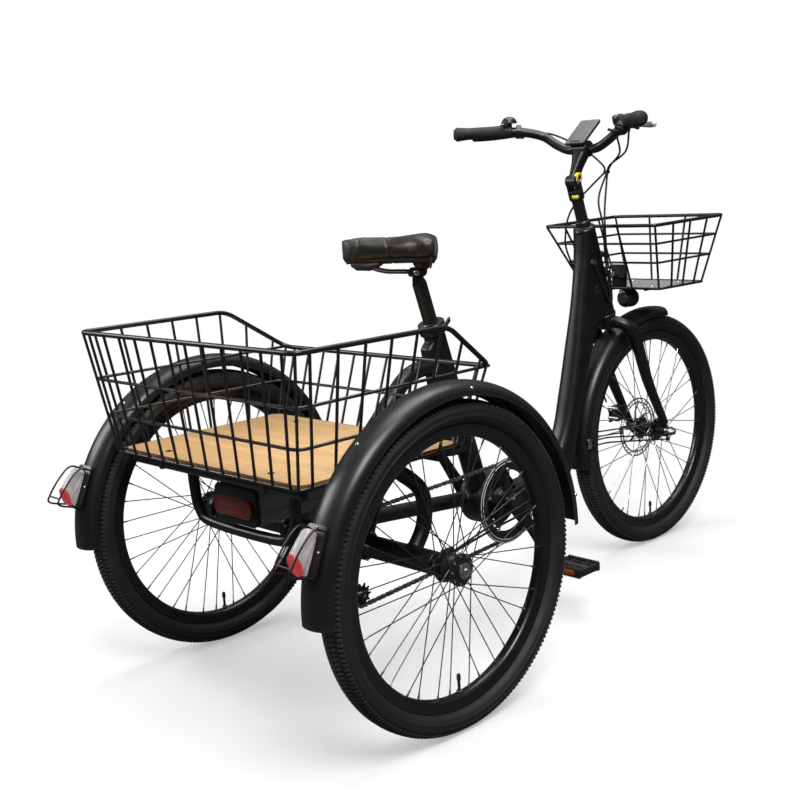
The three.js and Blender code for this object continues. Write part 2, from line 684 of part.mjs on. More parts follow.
function axleHousing() {
  const left = disc(AXLE_HOUSING_RADIUS, HOUSING_LEFT_INNER_X, HOUSING_END_X, 10);
  const right = disc(AXLE_HOUSING_RADIUS, -HOUSING_END_X, HOUSING_RIGHT_INNER_X, 10);
  const legX = 252;
  const legs = [-1, 1].map((side) => tube([
    at(side * legX, REAR_AXLE_Y + 30, RAIL_Z), at(side * legX, REAR_AXLE_Y - 34, 425),
    at(side * legX, REAR_AXLE_Y - 38, 360), at(side * legX, REAR_AXLE_Y, WHEEL_RADIUS)],
  15, { sides: 6, steps: 5 }));
  const stayLow = at(44, REAR_AXLE_Y, WHEEL_RADIUS);
  const leftStay = rod(at(20, BRACKET_Y, BRACKET_Z), stayLow, 17, 10);
  const rightTurn = at(HOUSING_RIGHT_INNER_X - 22, REAR_AXLE_Y, WHEEL_RADIUS);
  const rightStay = rod(at(HOUSING_RIGHT_INNER_X - 22, DECK_FRONT_Y + 40, RAIL_Z), rightTurn, 12, 8);
  const leftRise = rod(at(96, DECK_FRONT_Y + 40, RAIL_Z), at(96, REAR_AXLE_Y, WHEEL_RADIUS), 12, 8);
  const body = [moved(left, 0, REAR_AXLE_Y, WHEEL_RADIUS), moved(right, 0, REAR_AXLE_Y, WHEEL_RADIUS)];
  return [...body, ...legs, leftStay, rightStay, leftRise];
}

function basketBosses() {
  return [60, 150].map((lift) => rod(steeringPoint(lift, 0, 20), steeringPoint(lift, 0, 46), 9, 8));
}

function mainFrame() {
  const whole = join(headAssembly(), bracketShell(), ...spine(), ...rack(), batteryLoop(), ...axleHousing(),
    ...basketBosses());
  const steererRoom = rod(steeringPoint(-30), steeringPoint(HEAD_LENGTH + 60), STEERER_BORE, 12);
  const deckUnder = DECK_TOP - DECK_THICKNESS - GAP;
  const deckRoom = box(-400, 400, DECK_FRONT_Y - 14, DECK_BACK_Y + 1, deckUnder, DECK_TOP + 60);
  const lowerRoom = rod(steeringPoint(-60), steeringPoint(8), 40, 8);
  const upperRoom = rod(steeringPoint(HEAD_LENGTH - 8), steeringPoint(HEAD_LENGTH + 60), 40, 8);
  const postRoom = rod(seatPoint(70), seatPoint(SEAT_TUBE_LENGTH + 30), SEAT_POST_BORE, 12);
  const spindleRoom = moved(disc(boreFor(SPINDLE_RADIUS, 12), -90, 90, 12), 0, BRACKET_Y, BRACKET_Z);
  const shaftRoom = moved(disc(HALF_SHAFT_BORE, -HALF_TRACK, HALF_TRACK, 10), 0, REAR_AXLE_Y, WHEEL_RADIUS);
  return cut(whole, deckRoom, steererRoom, lowerRoom, upperRoom, postRoom, spindleRoom, shaftRoom);
}

// Seat.

const SADDLE_TURN = THREE.MathUtils.degToRad(131);
const SADDLE_CLAMP_Z = 803;
const SADDLE_BASE_Z = 822;
const SADDLE_THICKNESS = 48;

function seatClamp() {
  const low = seatPoint(SEAT_TUBE_LENGTH - 20);
  const high = seatPoint(SEAT_TUBE_LENGTH + 4);
  const [roomLow, roomHigh] = [seatPoint(SEAT_TUBE_LENGTH - 40), seatPoint(SEAT_TUBE_LENGTH + GAP)];
  const room = rod(roomLow, roomHigh, SEAT_TUBE_RADIUS + GAP, 14);
  const hole = rod(seatPoint(SEAT_TUBE_LENGTH - 40), seatPoint(SEAT_TUBE_LENGTH + 40), SEAT_POST_BORE, 12);
  return cut(rod(low, high, 29.5, 14), room, hole);
}

const CLAMP_LEVER_PIVOT = seatPoint(SEAT_TUBE_LENGTH - 8).add(at(-16, 38, 2));

function seatClampLever() {
  const boss = upright(CLAMP_LEVER_PIVOT, -7, 7, 6, 10);
  const way = [at(0, 0, 0), at(-20, -9, 0), at(-25, -32, 0), at(-21, -62, 0)];
  const handle = tube(way.map((p) => p.add(CLAMP_LEVER_PIVOT)), 4, { sides: 6, steps: 10 });
  return join(boss, handle);
}

function seatPost() {
  return join(
    rod(seatPoint(190), seatPoint(SEAT_POST_TOP), SEAT_POST_RADIUS, 12),
    rod(seatPoint(SEAT_POST_TOP - 10), seatPoint(SEAT_POST_TOP + 2), 12, 12));
}

// The saddle is drawn with its nose along -Y, its clamp at x = y = 0, then turned on its post.
function saddleOutline(grow) {
  const nose = -151;
  const right = [[22, -141], [36, -103], [43, -55], [68, -17], [86, 15], [80, 41], [40, 51]];
  const edge = right.map(([x, y]) => new THREE.Vector2(x + grow, y));
  const other = edge.map((p) => new THREE.Vector2(-p.x, p.y)).reverse();
  const shape = new THREE.Shape();
  shape.moveTo(0, nose - grow);
  shape.splineThru([...edge, new THREE.Vector2(0, 48 + grow)]);
  shape.splineThru([...other, new THREE.Vector2(0, nose - grow)]);
  return shape;
}

function saddleBase() {
  const pan = moved(slab(saddleOutline(-8), 6, 0, 1), 0, 0, SADDLE_BASE_Z + 3);
  const rails = [-1, 1].map((side) => tube([
    at(side * 14, -112, SADDLE_BASE_Z + 1),
    at(side * 20, -72, SADDLE_CLAMP_Z),
    at(side * 20, 10, SADDLE_CLAMP_Z),
    at(side * 26, 32, SADDLE_BASE_Z + 1)], 3.5, { sides: 6, steps: 8 }));
  const clamp = rod(at(-30, 0, SADDLE_CLAMP_Z), at(30, 0, SADDLE_CLAMP_Z), 11, 12);
  return join(pan, ...rails, clamp);
}

function addSeat() {
  part("seat_clamp", seatClamp(), "satin");
  part("seat_clamp_lever", seatClampLever(), "satin");
  part("seat_post", seatPost(), "frame");
  const top = seatPoint(SEAT_POST_TOP);
  const seat = new THREE.Group();
  seat.position.set(0, top.y, 0);
  seat.rotation.z = SADDLE_TURN;
  part("saddle_base", saddleBase(), "plastic", seat);
  const cushion = slab(saddleOutline(0), SADDLE_THICKNESS, 12, 1);
  part("saddle", moved(cushion, 0, 0, SADDLE_BASE_Z + 6 + GAP + SADDLE_THICKNESS / 2), "leather", seat);
  tricycle.add(seat);
}

// Deck, baskets, lamps and rear fenders.

function cargoDeck() {
  const depth = DECK_BACK_Y - DECK_FRONT_Y;
  const board = slab(roundedRectangle(2 * DECK_HALF_WIDTH, depth, 22), DECK_THICKNESS, 0);
  return moved(board, 0, (DECK_BACK_Y + DECK_FRONT_Y) / 2, DECK_TOP - DECK_THICKNESS / 2);
}

const REAR_BASKET = {
  floor: { z: 496, front: DECK_FRONT_Y - 8, back: DECK_BACK_Y + 8, half: DECK_HALF_WIDTH + 8 },
  rim: { z: 733, knee: REAR_AXLE_Y - 46, back: REAR_AXLE_Y + 305, half: 330 },
  nose: { z: 640, y: REAR_AXLE_Y - 184, half: 302 },
};

function lerp(a, b, t) {
  return a + (b - a) * t;
}

// One rear basket wall as a four-sided wire ring at the height t, from floor (0) to rim (1).
function basketRing(t, side) {
  const { floor, rim, nose } = REAR_BASKET;
  const z = lerp(floor.z, rim.z, t);
  const back = lerp(floor.back, rim.back, t);
  const noseShare = (z - floor.z) / (nose.z - floor.z);
  const frontY = noseShare <= 1 ? lerp(floor.front, nose.y, noseShare)
    : lerp(nose.y, rim.knee, (z - nose.z) / (rim.z - nose.z));
  const half = lerp(floor.half, rim.half, t);
  return { z, back, frontY, half: side * half };
}

function rearBasket() {
  const { floor, rim, nose } = REAR_BASKET;
  const list = [];
  const wire = 3;
  const bottom = [at(floor.half, floor.front, floor.z), at(floor.half, floor.back, floor.z),
    at(-floor.half, floor.back, floor.z),
    at(-floor.half, floor.front, floor.z),
    at(floor.half, floor.front, floor.z),
  ];
  list.push(...wires(bottom, wire + 1));
  const left = [at(nose.half, nose.y, nose.z), at(rim.half, rim.knee, rim.z), at(rim.half, rim.back, rim.z)];
  const right = left.map((p) => at(-p.x, p.y, p.z)).reverse();
  list.push(...wires([...left, ...right, left[0]], wire + 2, 5));
  [0.5].forEach((t) => {
    const l = basketRing(t, 1);
    const loop = [
      at(l.half, l.frontY, l.z),
      at(l.half, l.back, l.z),
      at(-l.half, l.back, l.z),
      at(-l.half, l.frontY, l.z),
    ];
    list.push(...wires(l.z < nose.z ? [...loop, loop[0]] : loop, wire));
  });
  const backCount = 6;
  for (let i = 0; i < backCount; i += 1) {
    const t = -1 + (2 * (i + 0.5)) / backCount;
    const [backLow, backHigh] = [at(t * floor.half, floor.back, floor.z), at(t * rim.half, rim.back, rim.z)];
    const frontLow = at(t * floor.half, floor.front, floor.z);
    const frontHigh = at(t * nose.half, nose.y, nose.z);
    list.push(wireRod(backLow, backHigh, wire, 3, 0.4 + 0.11 * i));
    list.push(wireRod(frontLow, frontHigh, wire, 3, 0.4 + 0.11 * i));
  }
  const sideCount = 4;
  for (let i = 0; i < sideCount; i += 1) {
    const t = (i + 0.5) / sideCount;
    const low = lerp(floor.front, floor.back, t);
    const high = lerp(nose.y + 30, rim.back, t);
    const share = Math.min(1, (high - nose.y) / (rim.knee - nose.y));
    const top = at(lerp(nose.half, rim.half, share), high, lerp(nose.z, rim.z, share));
    list.push(wireRod(at(floor.half, low, floor.z), top, wire, 3, 0.4 + 0.11 * i));
    list.push(wireRod(at(-floor.half, low, floor.z), at(-top.x, top.y, top.z), wire, 3, 0.4 + 0.11 * i));
  }
  return join(...list);
}

const FRONT_BASKET = {
  rim: { z: 862, back: REAR_AXLE_Y - 950, front: REAR_AXLE_Y - 1257, half: 166 },
  floor: { z: 693, back: REAR_AXLE_Y - 1036, front: REAR_AXLE_Y - 1238, half: 118 },
};

function frontBasketRing(t) {
  const { floor, rim } = FRONT_BASKET;
  const half = lerp(floor.half, rim.half, t);
  const back = lerp(floor.back, rim.back, t);
  const front = lerp(floor.front, rim.front, t);
  const z = lerp(floor.z, rim.z, t);
  return [at(half, back, z), at(half, front, z), at(-half, front, z), at(-half, back, z), at(half, back, z)];
}

function frontBasket() {
  const wire = 2.5;
  const list = [...wires(frontBasketRing(0), wire + 0.8), ...wires(frontBasketRing(1), wire + 2, 5)];
  list.push(...wires(frontBasketRing(0.5), wire));
  const low = frontBasketRing(0);
  const high = frontBasketRing(1);
  const counts = [4, 4, 4, 4];
  counts.forEach((count, side) => {
    for (let i = 0; i < count; i += 1) {
      const t = (i + 0.5) / count;
      const [foot, head] = [low, high].map((ring) => ring[side].clone().lerp(ring[side + 1], t));
      list.push(wireRod(foot, head, wire, 3, 0.4 + 0.11 * i));
    }
  });
  const bracketY = FRONT_BASKET.floor.back + 10;
  const trayZ = FRONT_BASKET.floor.z;
  const strap = box(-22, 22, bracketY - 11, bracketY - 7, trayZ - 4, trayZ + 60);
  return join(...list, strap);
}

function frontTray() {
  const { floor } = FRONT_BASKET;
  const inset = 8;
  const depth = floor.back - floor.front - 2 * inset;
  const plate = slab(roundedRectangle(2 * (floor.half - inset), depth, 14), 2.4, 0);
  return moved(plate, 0, (floor.back + floor.front) / 2, floor.z);
}

function headlamp() {
  const profile = [[0, -22], [16, -22], [22, -10], [24, 14], [23, 22], [0, 22]];
  const shell = turnedZ(profile, 18).rotateX(Math.PI / 2);
  const arm = rod(at(0, 4, 6), at(0, 30, 20), 6, 8);
  return moved(join(shell, arm), 0, REAR_AXLE_Y - 1066, 664);
}

const REAR_FENDER_RADIUS = 340;

function rearFender(side) {
  const shell = fenderShell(REAR_FENDER_RADIUS, 70, 24, -2, 178.5, 15);
  const foot = at(-side * 36, -16, 8);
  const stays = [172, 168].map((degrees) => {
    const angle = THREE.MathUtils.degToRad(degrees);
    const reach = REAR_FENDER_RADIUS - 19;
    return rod(foot, at(-side * 33.6, reach * Math.cos(angle), reach * Math.sin(angle)), 2.2, 4);
  });
  const tab = box(-side * 35 - 3, -side * 35 + 3, -36, -10, -8, 22);
  const whole = join(shell, ...stays, tab);
  return moved(whole, side * HALF_TRACK, REAR_AXLE_Y, WHEEL_RADIUS);
}

const LAMP_TILT = THREE.MathUtils.degToRad(-24);

const LAMP_PLATE_TOP = 3.6;

// The lamp lies along its fender, its lens end lifted off it. The fender's surface is z = 0, and +Y is down.
function tailLamp() {
  const body = rod(at(0, -26, 13), at(0, 32, 25.7), 13, 16, 17.5);
  return cut(body, box(-30, 30, -60, 60, -30, LAMP_PLATE_TOP + GAP));
}

function lampGuard() {
  const hoops = [-20, 20].map((x) => tube([
    at(x, -35, 2.5), at(x, -32, 26), at(x, -6, 41), at(x, 30, 51), at(x, 46, 47), at(x, 41, 2.5),
  ], 2, { sides: 4, steps: 12 }));
  const bridge = rod(at(-20, 34, 51), at(20, 34, 51), 1.8, 6);
  const plate = moved(slab(roundedRectangle(50, 90, 10), LAMP_PLATE_TOP - 1), 0, 2, (LAMP_PLATE_TOP + 1) / 2);
  return join(...hoops, bridge, plate);
}

function addLamps() {
  [["left", 1], ["right", -1]].forEach(([name, side]) => {
    const group = new THREE.Group();
    group.position.set(side * HALF_TRACK, REAR_AXLE_Y + 320.6, WHEEL_RADIUS + 116);
    group.rotation.x = -Math.PI / 2 - LAMP_TILT;
    part(`tail_lamp_${name}`, tailLamp(), "clear", group);
    part(`lamp_guard_${name}`, lampGuard(), "satin", group);
    tricycle.add(group);
  });
}

function addCargo() {
  part("cargo_deck", cargoDeck(), "wood");
  part("rear_basket", rearBasket(), "frame");
  part("front_basket", frontBasket(), "frame");
  part("front_basket_tray", frontTray(), "tray");
  part("headlamp", headlamp(), "plastic");
  part("rear_fender_left", rearFender(1), "plastic");
  part("rear_fender_right", rearFender(-1), "plastic");
}

// Battery.

const BATTERY_BACK_Y = REAR_AXLE_Y + 206;
const BATTERY_FRONT_Y = REAR_AXLE_Y - 112;
const BATTERY_Z = 412;

function battery() {
  const body = slab(roundedRectangle(128, 74, 16), BATTERY_BACK_Y - BATTERY_FRONT_Y, 0).rotateX(Math.PI / 2);
  return moved(body, 0, (BATTERY_BACK_Y + BATTERY_FRONT_Y) / 2, BATTERY_Z);
}

function batteryLens() {
  const lens = slab(roundedRectangle(104, 44, 18), 8).rotateX(Math.PI / 2);
  return moved(lens, 0, BATTERY_BACK_Y + GAP + 4, BATTERY_Z - 2);
}

// Pedal drive.

const RING_RADIUS = (RING_TEETH * CHAIN_PITCH) / (2 * Math.PI);
const COG_RADIUS = (COG_TEETH * CHAIN_PITCH) / (2 * Math.PI);
const JOCKEY_RADIUS = (JOCKEY_TEETH * CHAIN_PITCH) / (2 * Math.PI);
const GUARD_RADIUS = 99;
const RING_SPOT = new THREE.Vector2(BRACKET_Y, BRACKET_Z);
const COG_SPOT = new THREE.Vector2(REAR_AXLE_Y, WHEEL_RADIUS);
const UPPER_JOCKEY = new THREE.Vector2(REAR_AXLE_Y + 4, WHEEL_RADIUS - 76);
const LOWER_JOCKEY = new THREE.Vector2(REAR_AXLE_Y - 46, WHEEL_RADIUS - 132);

// The chain turns one way round the ring, cog and lower jockey, and the other way round the upper one.
const CHAIN_STOPS = [
  { centre: RING_SPOT, radius: RING_RADIUS, way: 1 },
  { centre: LOWER_JOCKEY, radius: JOCKEY_RADIUS, way: 1 },
  { centre: UPPER_JOCKEY, radius: JOCKEY_RADIUS, way: -1 },
  { centre: COG_SPOT, radius: COG_RADIUS, way: 1 },
];

function tangent(from, to, swell) {
  const r1 = from.way * from.radius + swell;
  const r2 = to.way * to.radius + swell;
  const between = to.centre.clone().sub(from.centre);
  const lean = Math.asin((r2 - r1) / between.length());
  const normal = between.clone().normalize().rotateAround(new THREE.Vector2(), -Math.PI / 2 - lean);
  return [from.centre.clone().addScaledVector(normal, r1), to.centre.clone().addScaledVector(normal, r2)];
}

function chainOutline(swell) {
  const runs = CHAIN_STOPS.map((stop, i) => tangent(stop, CHAIN_STOPS[(i + 1) % CHAIN_STOPS.length], swell));
  const points = [];
  CHAIN_STOPS.forEach((stop, i) => {
    const arrive = runs[(i + CHAIN_STOPS.length - 1) % CHAIN_STOPS.length][1].clone().sub(stop.centre);
    const leave = runs[i][0].clone().sub(stop.centre);
    let sweep = leave.angle() - arrive.angle();
    if (stop.way > 0 && sweep < 0) sweep += 2 * Math.PI;
    if (stop.way < 0 && sweep > 0) sweep -= 2 * Math.PI;
    const steps = Math.max(3, Math.round((Math.abs(sweep) * stop.radius) / 16));
    for (let k = 0; k <= steps; k += 1) {
      points.push(arrive.clone().rotateAround(new THREE.Vector2(), (sweep * k) / steps).add(stop.centre));
    }
  });
  return points;
}

function chain() {
  const shape = new THREE.Shape(chainOutline(CHAIN_HALF_THICKNESS));
  shape.holes.push(new THREE.Path(chainOutline(-CHAIN_HALF_THICKNESS)));
  return moved(sidePlate(shape, 5), CHAIN_LINE_X, 0, 0);
}

function chainring() {
  const inside = RING_RADIUS - CHAIN_HALF_THICKNESS - 1.2;
  const plate = disc(inside, CHAIN_LINE_X - 3, CHAIN_LINE_X + 3, 24);
  const guard = disc(GUARD_RADIUS, CHAIN_LINE_X - 6.5, CHAIN_LINE_X - 2.8, 24);
  const windows = [];
  const arms = 5;
  for (let i = 0; i < arms; i += 1) {
    const angle = ((i + 0.5) * 2 * Math.PI) / arms;
    const window = disc(14, CHAIN_LINE_X - 9, CHAIN_LINE_X + 9, 6);
    windows.push(moved(window, 0, 58 * Math.cos(angle), 58 * Math.sin(angle)));
  }
  const hole = disc(20, CHAIN_LINE_X - 9, CHAIN_LINE_X + 9, 14);
  return moved(cut(join(plate, guard), hole, ...windows), 0, BRACKET_Y, BRACKET_Z);
}

const PEDAL_X = 118;

function pedalSpot(side) {
  const reach = side < 0 ? CRANK_LENGTH : -CRANK_LENGTH;
  const [back, up] = [-reach * Math.sin(CRANK_TURN), -reach * Math.cos(CRANK_TURN)];
  return at(side * PEDAL_X, BRACKET_Y + back, BRACKET_Z + up);
}

function crankset() {
  const spindle = rod(at(-84, BRACKET_Y, BRACKET_Z), at(84, BRACKET_Y, BRACKET_Z), SPINDLE_RADIUS, 12);
  const hubSeat = moved(disc(19.6, CHAIN_LINE_X - 8, CHAIN_LINE_X + 8, 14), 0, BRACKET_Y, BRACKET_Z);
  const arms = [-1, 1].map((side) => {
    const root = at(side * 80, BRACKET_Y, BRACKET_Z);
    const boss = rod(at(side * 70, BRACKET_Y, BRACKET_Z), at(side * 88, BRACKET_Y, BRACKET_Z), 19, 10);
    const tip = pedalSpot(side);
    const end = rod(tip.clone().add(at(-7, 0, 0)), tip.clone().add(at(7, 0, 0)), 14, 10);
    const hole = rod(tip.clone().add(at(-30, 0, 0)), tip.clone().add(at(30, 0, 0)), boreFor(6, 8), 8);
    return cut(join(rod(root, tip, 12, 8, 10), boss, end), hole);
  });
  return join(spindle, hubSeat, ...arms);
}

function pedal(side) {
  const length = 96;
  const start = 15;
  const frame = box(side > 0 ? start : -start - length, side > 0 ? start + length : -start, -38, 38, -11, 11);
  const [inner, outer] = side > 0 ? [start, start + length] : [-start - length, -start];
  const gap = box(inner + 10, outer - 10, -28, 28, -20, 20);
  const spindle = rod(at(-side * 7, 0, 0), at(side * (start + length - 4), 0, 0), 6, 8);
  const tread = box(inner + 20, outer - 20, -13, 13, -9, 9);
  return join(cut(frame, gap), spindle, tread);
}

function cassette() {
  const wide = RING_RADIUS * 0.5;
  const inside = COG_RADIUS - CHAIN_HALF_THICKNESS - 1.2;
  const body = turnedX([[HALF_SHAFT_RADIUS + 3, -98], [wide, -98], [wide, -84], [inside + 6, -82],
    [inside + 6, CHAIN_LINE_X - 6], [inside, CHAIN_LINE_X - 5], [inside, CHAIN_LINE_X + 5],
    [inside - 8, CHAIN_LINE_X + 8], [inside - 8, -38], [40, -36], [40, 10], [HALF_SHAFT_RADIUS + 3, 10],
    [HALF_SHAFT_RADIUS + 3, -98]], 12);
  return moved(body, 0, REAR_AXLE_Y, WHEEL_RADIUS);
}

const CAGE_INNER_X = CHAIN_LINE_X - 9;
const CAGE_OUTER_X = CHAIN_LINE_X + 9;

function jockey(spot) {
  const inside = JOCKEY_RADIUS - CHAIN_HALF_THICKNESS - 1.2;
  const wheelBody = cut(disc(inside, CHAIN_LINE_X - 3, CHAIN_LINE_X + 3, 18), disc(boreFor(3, 8), -99, 0, 8));
  return moved(wheelBody, 0, spot.x, spot.y);
}

function derailleurCage() {
  const up = at(0, UPPER_JOCKEY.x, UPPER_JOCKEY.y);
  const down = at(0, LOWER_JOCKEY.x, LOWER_JOCKEY.y);
  const shift = (point, x) => point.clone().add(at(x, 0, 0));
  const plates = [CAGE_INNER_X, CAGE_OUTER_X].flatMap((x) => {
    const side = (t, radius) => {
      const spot = up.clone().lerp(down, t);
      return rod(shift(spot, x - 1.2), shift(spot, x + 1.2), radius, 14);
    };
    const web = new THREE.BoxGeometry(2.4, up.distanceTo(down), 12);
    const lean = Math.atan2(down.z - up.z, down.y - up.y);
    web.rotateX(lean);
    const middle = shift(up.clone().lerp(down, 0.5), x);
    return [side(0, 9), side(1, 9), web.translate(...middle.toArray())];
  });
  const pins = [up, down].map((p) => rod(shift(p, CAGE_INNER_X - 1), shift(p, CAGE_OUTER_X + 1), 3, 8));
  return join(...plates, ...pins);
}

function derailleurBody() {
  const up = at(CAGE_OUTER_X + 3, UPPER_JOCKEY.x, UPPER_JOCKEY.y);
  const knuckle = rod(up, up.clone().add(at(20, 0, 0)), 12, 12);
  const arm = rod(up.clone().add(at(14, 0, 0)), at(-20, REAR_AXLE_Y - 62, WHEEL_RADIUS - 46), 9, 8);
  const hangerEye = at(-20, REAR_AXLE_Y - 62, WHEEL_RADIUS - 46);
  const hanger = rod(hangerEye, at(13, REAR_AXLE_Y - 66, WHEEL_RADIUS - 34), 8, 8);
  return join(knuckle, arm, hanger);
}

function addDrive() {
  part("crankset", crankset(), "satin");
  part("chainring", chainring(), "steel");
  [["left", 1], ["right", -1]].forEach(([name, side]) => {
    const mesh = part(`pedal_${name}`, pedal(side), "plastic");
    mesh.position.copy(pedalSpot(side));
  });
  part("chain", chain(), "steel");
  part("cassette", cassette(), "steel");
  part("jockey_upper", jockey(UPPER_JOCKEY), "plastic");
  part("jockey_lower", jockey(LOWER_JOCKEY), "plastic");
  part("derailleur_cage", derailleurCage(), "satin");
  part("derailleur_body", derailleurBody(), "satin");
}

part("main_frame", mainFrame(), "frame");
addWheels();
addSteering();
addControls();
addSeat();
addCargo();
addLamps();
part("battery", battery(), "plastic");
part("battery_lens", batteryLens(), "lens");
addDrive();

export default tricycle;
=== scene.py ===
"""Looks of an adult tricycle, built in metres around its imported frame.

+Z is up, the tricycle faces -Y, and +X is the rider's left.
"""
import json
import math
import random

import bmesh
import bpy
import numpy as np
from mathutils import Matrix, Quaternion, Vector, noise


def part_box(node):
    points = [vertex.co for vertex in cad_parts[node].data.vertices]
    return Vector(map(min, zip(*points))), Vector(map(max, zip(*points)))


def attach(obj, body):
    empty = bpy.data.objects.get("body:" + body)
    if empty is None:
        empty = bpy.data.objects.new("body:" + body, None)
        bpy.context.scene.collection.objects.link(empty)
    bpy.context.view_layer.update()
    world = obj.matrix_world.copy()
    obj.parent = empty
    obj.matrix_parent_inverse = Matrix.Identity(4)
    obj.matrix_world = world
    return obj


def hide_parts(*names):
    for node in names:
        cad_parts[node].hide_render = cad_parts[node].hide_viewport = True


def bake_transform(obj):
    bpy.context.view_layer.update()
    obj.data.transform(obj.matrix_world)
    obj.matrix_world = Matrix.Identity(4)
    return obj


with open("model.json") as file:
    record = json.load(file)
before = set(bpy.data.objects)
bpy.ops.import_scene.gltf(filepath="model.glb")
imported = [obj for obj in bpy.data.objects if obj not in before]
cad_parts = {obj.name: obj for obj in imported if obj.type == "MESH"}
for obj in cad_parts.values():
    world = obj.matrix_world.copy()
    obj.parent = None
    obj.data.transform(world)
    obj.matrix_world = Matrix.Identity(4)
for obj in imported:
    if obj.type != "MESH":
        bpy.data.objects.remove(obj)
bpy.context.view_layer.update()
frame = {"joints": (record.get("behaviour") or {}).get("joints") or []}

# Places from the frame.

JOINTS = {joint["name"]: joint for joint in frame["joints"]}
X, Y, Z = Vector((1, 0, 0)), Vector((0, 1, 0)), Vector((0, 0, 1))


def pivot(name):
    """Where a hinge of the frame is."""
    return Vector(JOINTS[name]["pos_m"])


def axis_of(name):
    """The direction of a joint of the frame."""
    return Vector(JOINTS[name]["axis"]).normalized()


def middle(node):
    """The middle of a CAD node's box."""
    low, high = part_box(node)
    return (low + high) / 2


REAR_AXLE = pivot("rear_left_spin") - X * pivot("rear_left_spin").x
FRONT_AXLE = pivot("front_wheel_spin")
BRACKET = pivot("crank_spin")
HEAD_LOW, HEAD_WAY = pivot("steering_turn"), axis_of("steering_turn")
SEAT_WAY = axis_of("seat_height")
SEAT_FOOT = BRACKET + Y * 0.026
WHEEL_RADIUS = REAR_AXLE.z
HEAD_LENGTH = 0.240
CHAIN_X = pivot("sprocket_spin").x


def back(distance, height, x=0.0):
    """A point a distance ahead of the rear axle and a height above the ground."""
    return Vector((x, REAR_AXLE.y - distance, height))


def on_head(lift, x=0.0, forward=0.0):
    """A point along the steering axis, moved sideways and forward of it."""
    ahead = Vector((0, -HEAD_WAY.z, HEAD_WAY.y))
    return HEAD_LOW + HEAD_WAY * lift + X * x + ahead * forward


def on_seat(length):
    """A point along the seat tube, measured up from the crank's height."""
    return SEAT_FOOT + SEAT_WAY * length


def mirrored_points(points):
    """The same points on the other side of the tricycle."""
    return [Vector((-p.x, p.y, p.z)) for p in points]


# Shapes. Each is a list of points and a list of faces.


def square_to(way):
    """Two directions at right angles to a direction and to each other."""
    helper = Z if abs(way.normalized().z) < 0.9 else X
    side = way.cross(helper).normalized()
    return side, way.cross(side).normalized()


def curve(points, steps=8):
    """A smooth curve through the points."""
    ends = [points[0] * 2 - points[1], *points, points[-1] * 2 - points[-2]]
    path = []
    for a, b, c, d in zip(ends, ends[1:], ends[2:], ends[3:]):
        for i in range(steps):
            t = i / steps
            path.append(0.5 * (2 * b + (c - a) * t + (2 * a - 5 * b + 4 * c - d) * t ** 2
                               + (3 * b - 3 * c + d - a) * t ** 3))
    return [*path, points[-1]]


def rounded(points, radius, closed=False, steps=5):
    """A path of straight runs with rounded corners."""
    count = len(points)
    path = []
    for i, corner in enumerate(points):
        if not closed and i in (0, count - 1):
            path.append(corner)
            continue
        before, after = points[i - 1] - corner, points[(i + 1) % count] - corner
        reach = min(radius, before.length * 0.45, after.length * 0.45)
        start, end = corner + before.normalized() * reach, corner + after.normalized() * reach
        for k in range(steps + 1):
            t = k / steps
            path.append(start * (1 - t) ** 2 + corner * 2 * t * (1 - t) + end * t ** 2)
    return path


def skin(rings, closed=False, caps=True):
    """A surface over rings of points, all with the same number of points."""
    sides = len(rings[0])
    points = [p for ring in rings for p in ring]
    faces = []
    spans = len(rings) if closed else len(rings) - 1
    for i in range(spans):
        low, high = i * sides, (i + 1) % len(rings) * sides
        for k in range(sides):
            n = (k + 1) % sides
            faces.append((low + k, low + n, high + n, high + k))
    if caps and not closed:
        faces.append(tuple(reversed(range(sides))))
        last = (len(rings) - 1) * sides
        faces.append(tuple(range(last, last + sides)))
    return points, faces


def tube(path, radius, sides=14, closed=False, flat=1.0):
    """A round bar along a path. The radius is a number, or one for each end, or a list."""
    count = len(path)
    radii = radius if isinstance(radius, (list, tuple)) else (radius, radius)
    radii = np.interp(np.linspace(0, 1, count), np.linspace(0, 1, len(radii)), radii)
    side, up, rings, old = None, None, [], None
    for i, point in enumerate(path):
        ahead = path[(i + 1) % count] if closed or i < count - 1 else point
        behind = path[i - 1] if closed or i > 0 else point
        way = (ahead - behind).normalized()
        if side is None:
            side, up = square_to(way)
        else:
            turn = old.rotation_difference(way)
            side, up = turn @ side, turn @ up
        old = way
        ring = []
        for k in range(sides):
            angle = 2 * math.pi * k / sides
            ring.append(point + (side * math.cos(angle) + up * math.sin(angle) * flat) * radii[i])
        rings.append(ring)
    return skin(rings, closed)


def rod(start, end, radius, sides=20, tip=None):
    """A straight round bar."""
    return tube([start, end], (radius, radius if tip is None else tip), sides)


def lathe(profile, origin=Vector(), way=X, sides=64, loop=False):
    """A profile of (along, radius) points turned about an axis. A loop closes on itself."""
    side, up = square_to(way)
    rings = []
    for along, radius in profile:
        radius = max(radius, 1e-5)
        rings.append([origin + way * along + (side * math.cos(a) + up * math.sin(a)) * radius
                      for a in (2 * math.pi * k / sides for k in range(sides))])
    return skin(rings, closed=loop, caps=not loop)


def sweep(section, centre, radius, start, end, steps=72):
    """A closed section of (across, outward) points swept round a wheel's axis. Angle 0 points back."""
    rings = []
    for i in range(steps + 1):
        angle = math.radians(start + (end - start) * i / steps)
        out = Y * math.cos(angle) + Z * math.sin(angle)
        rings.append([centre + X * across + out * (radius + outward) for across, outward in section])
    return skin(rings)


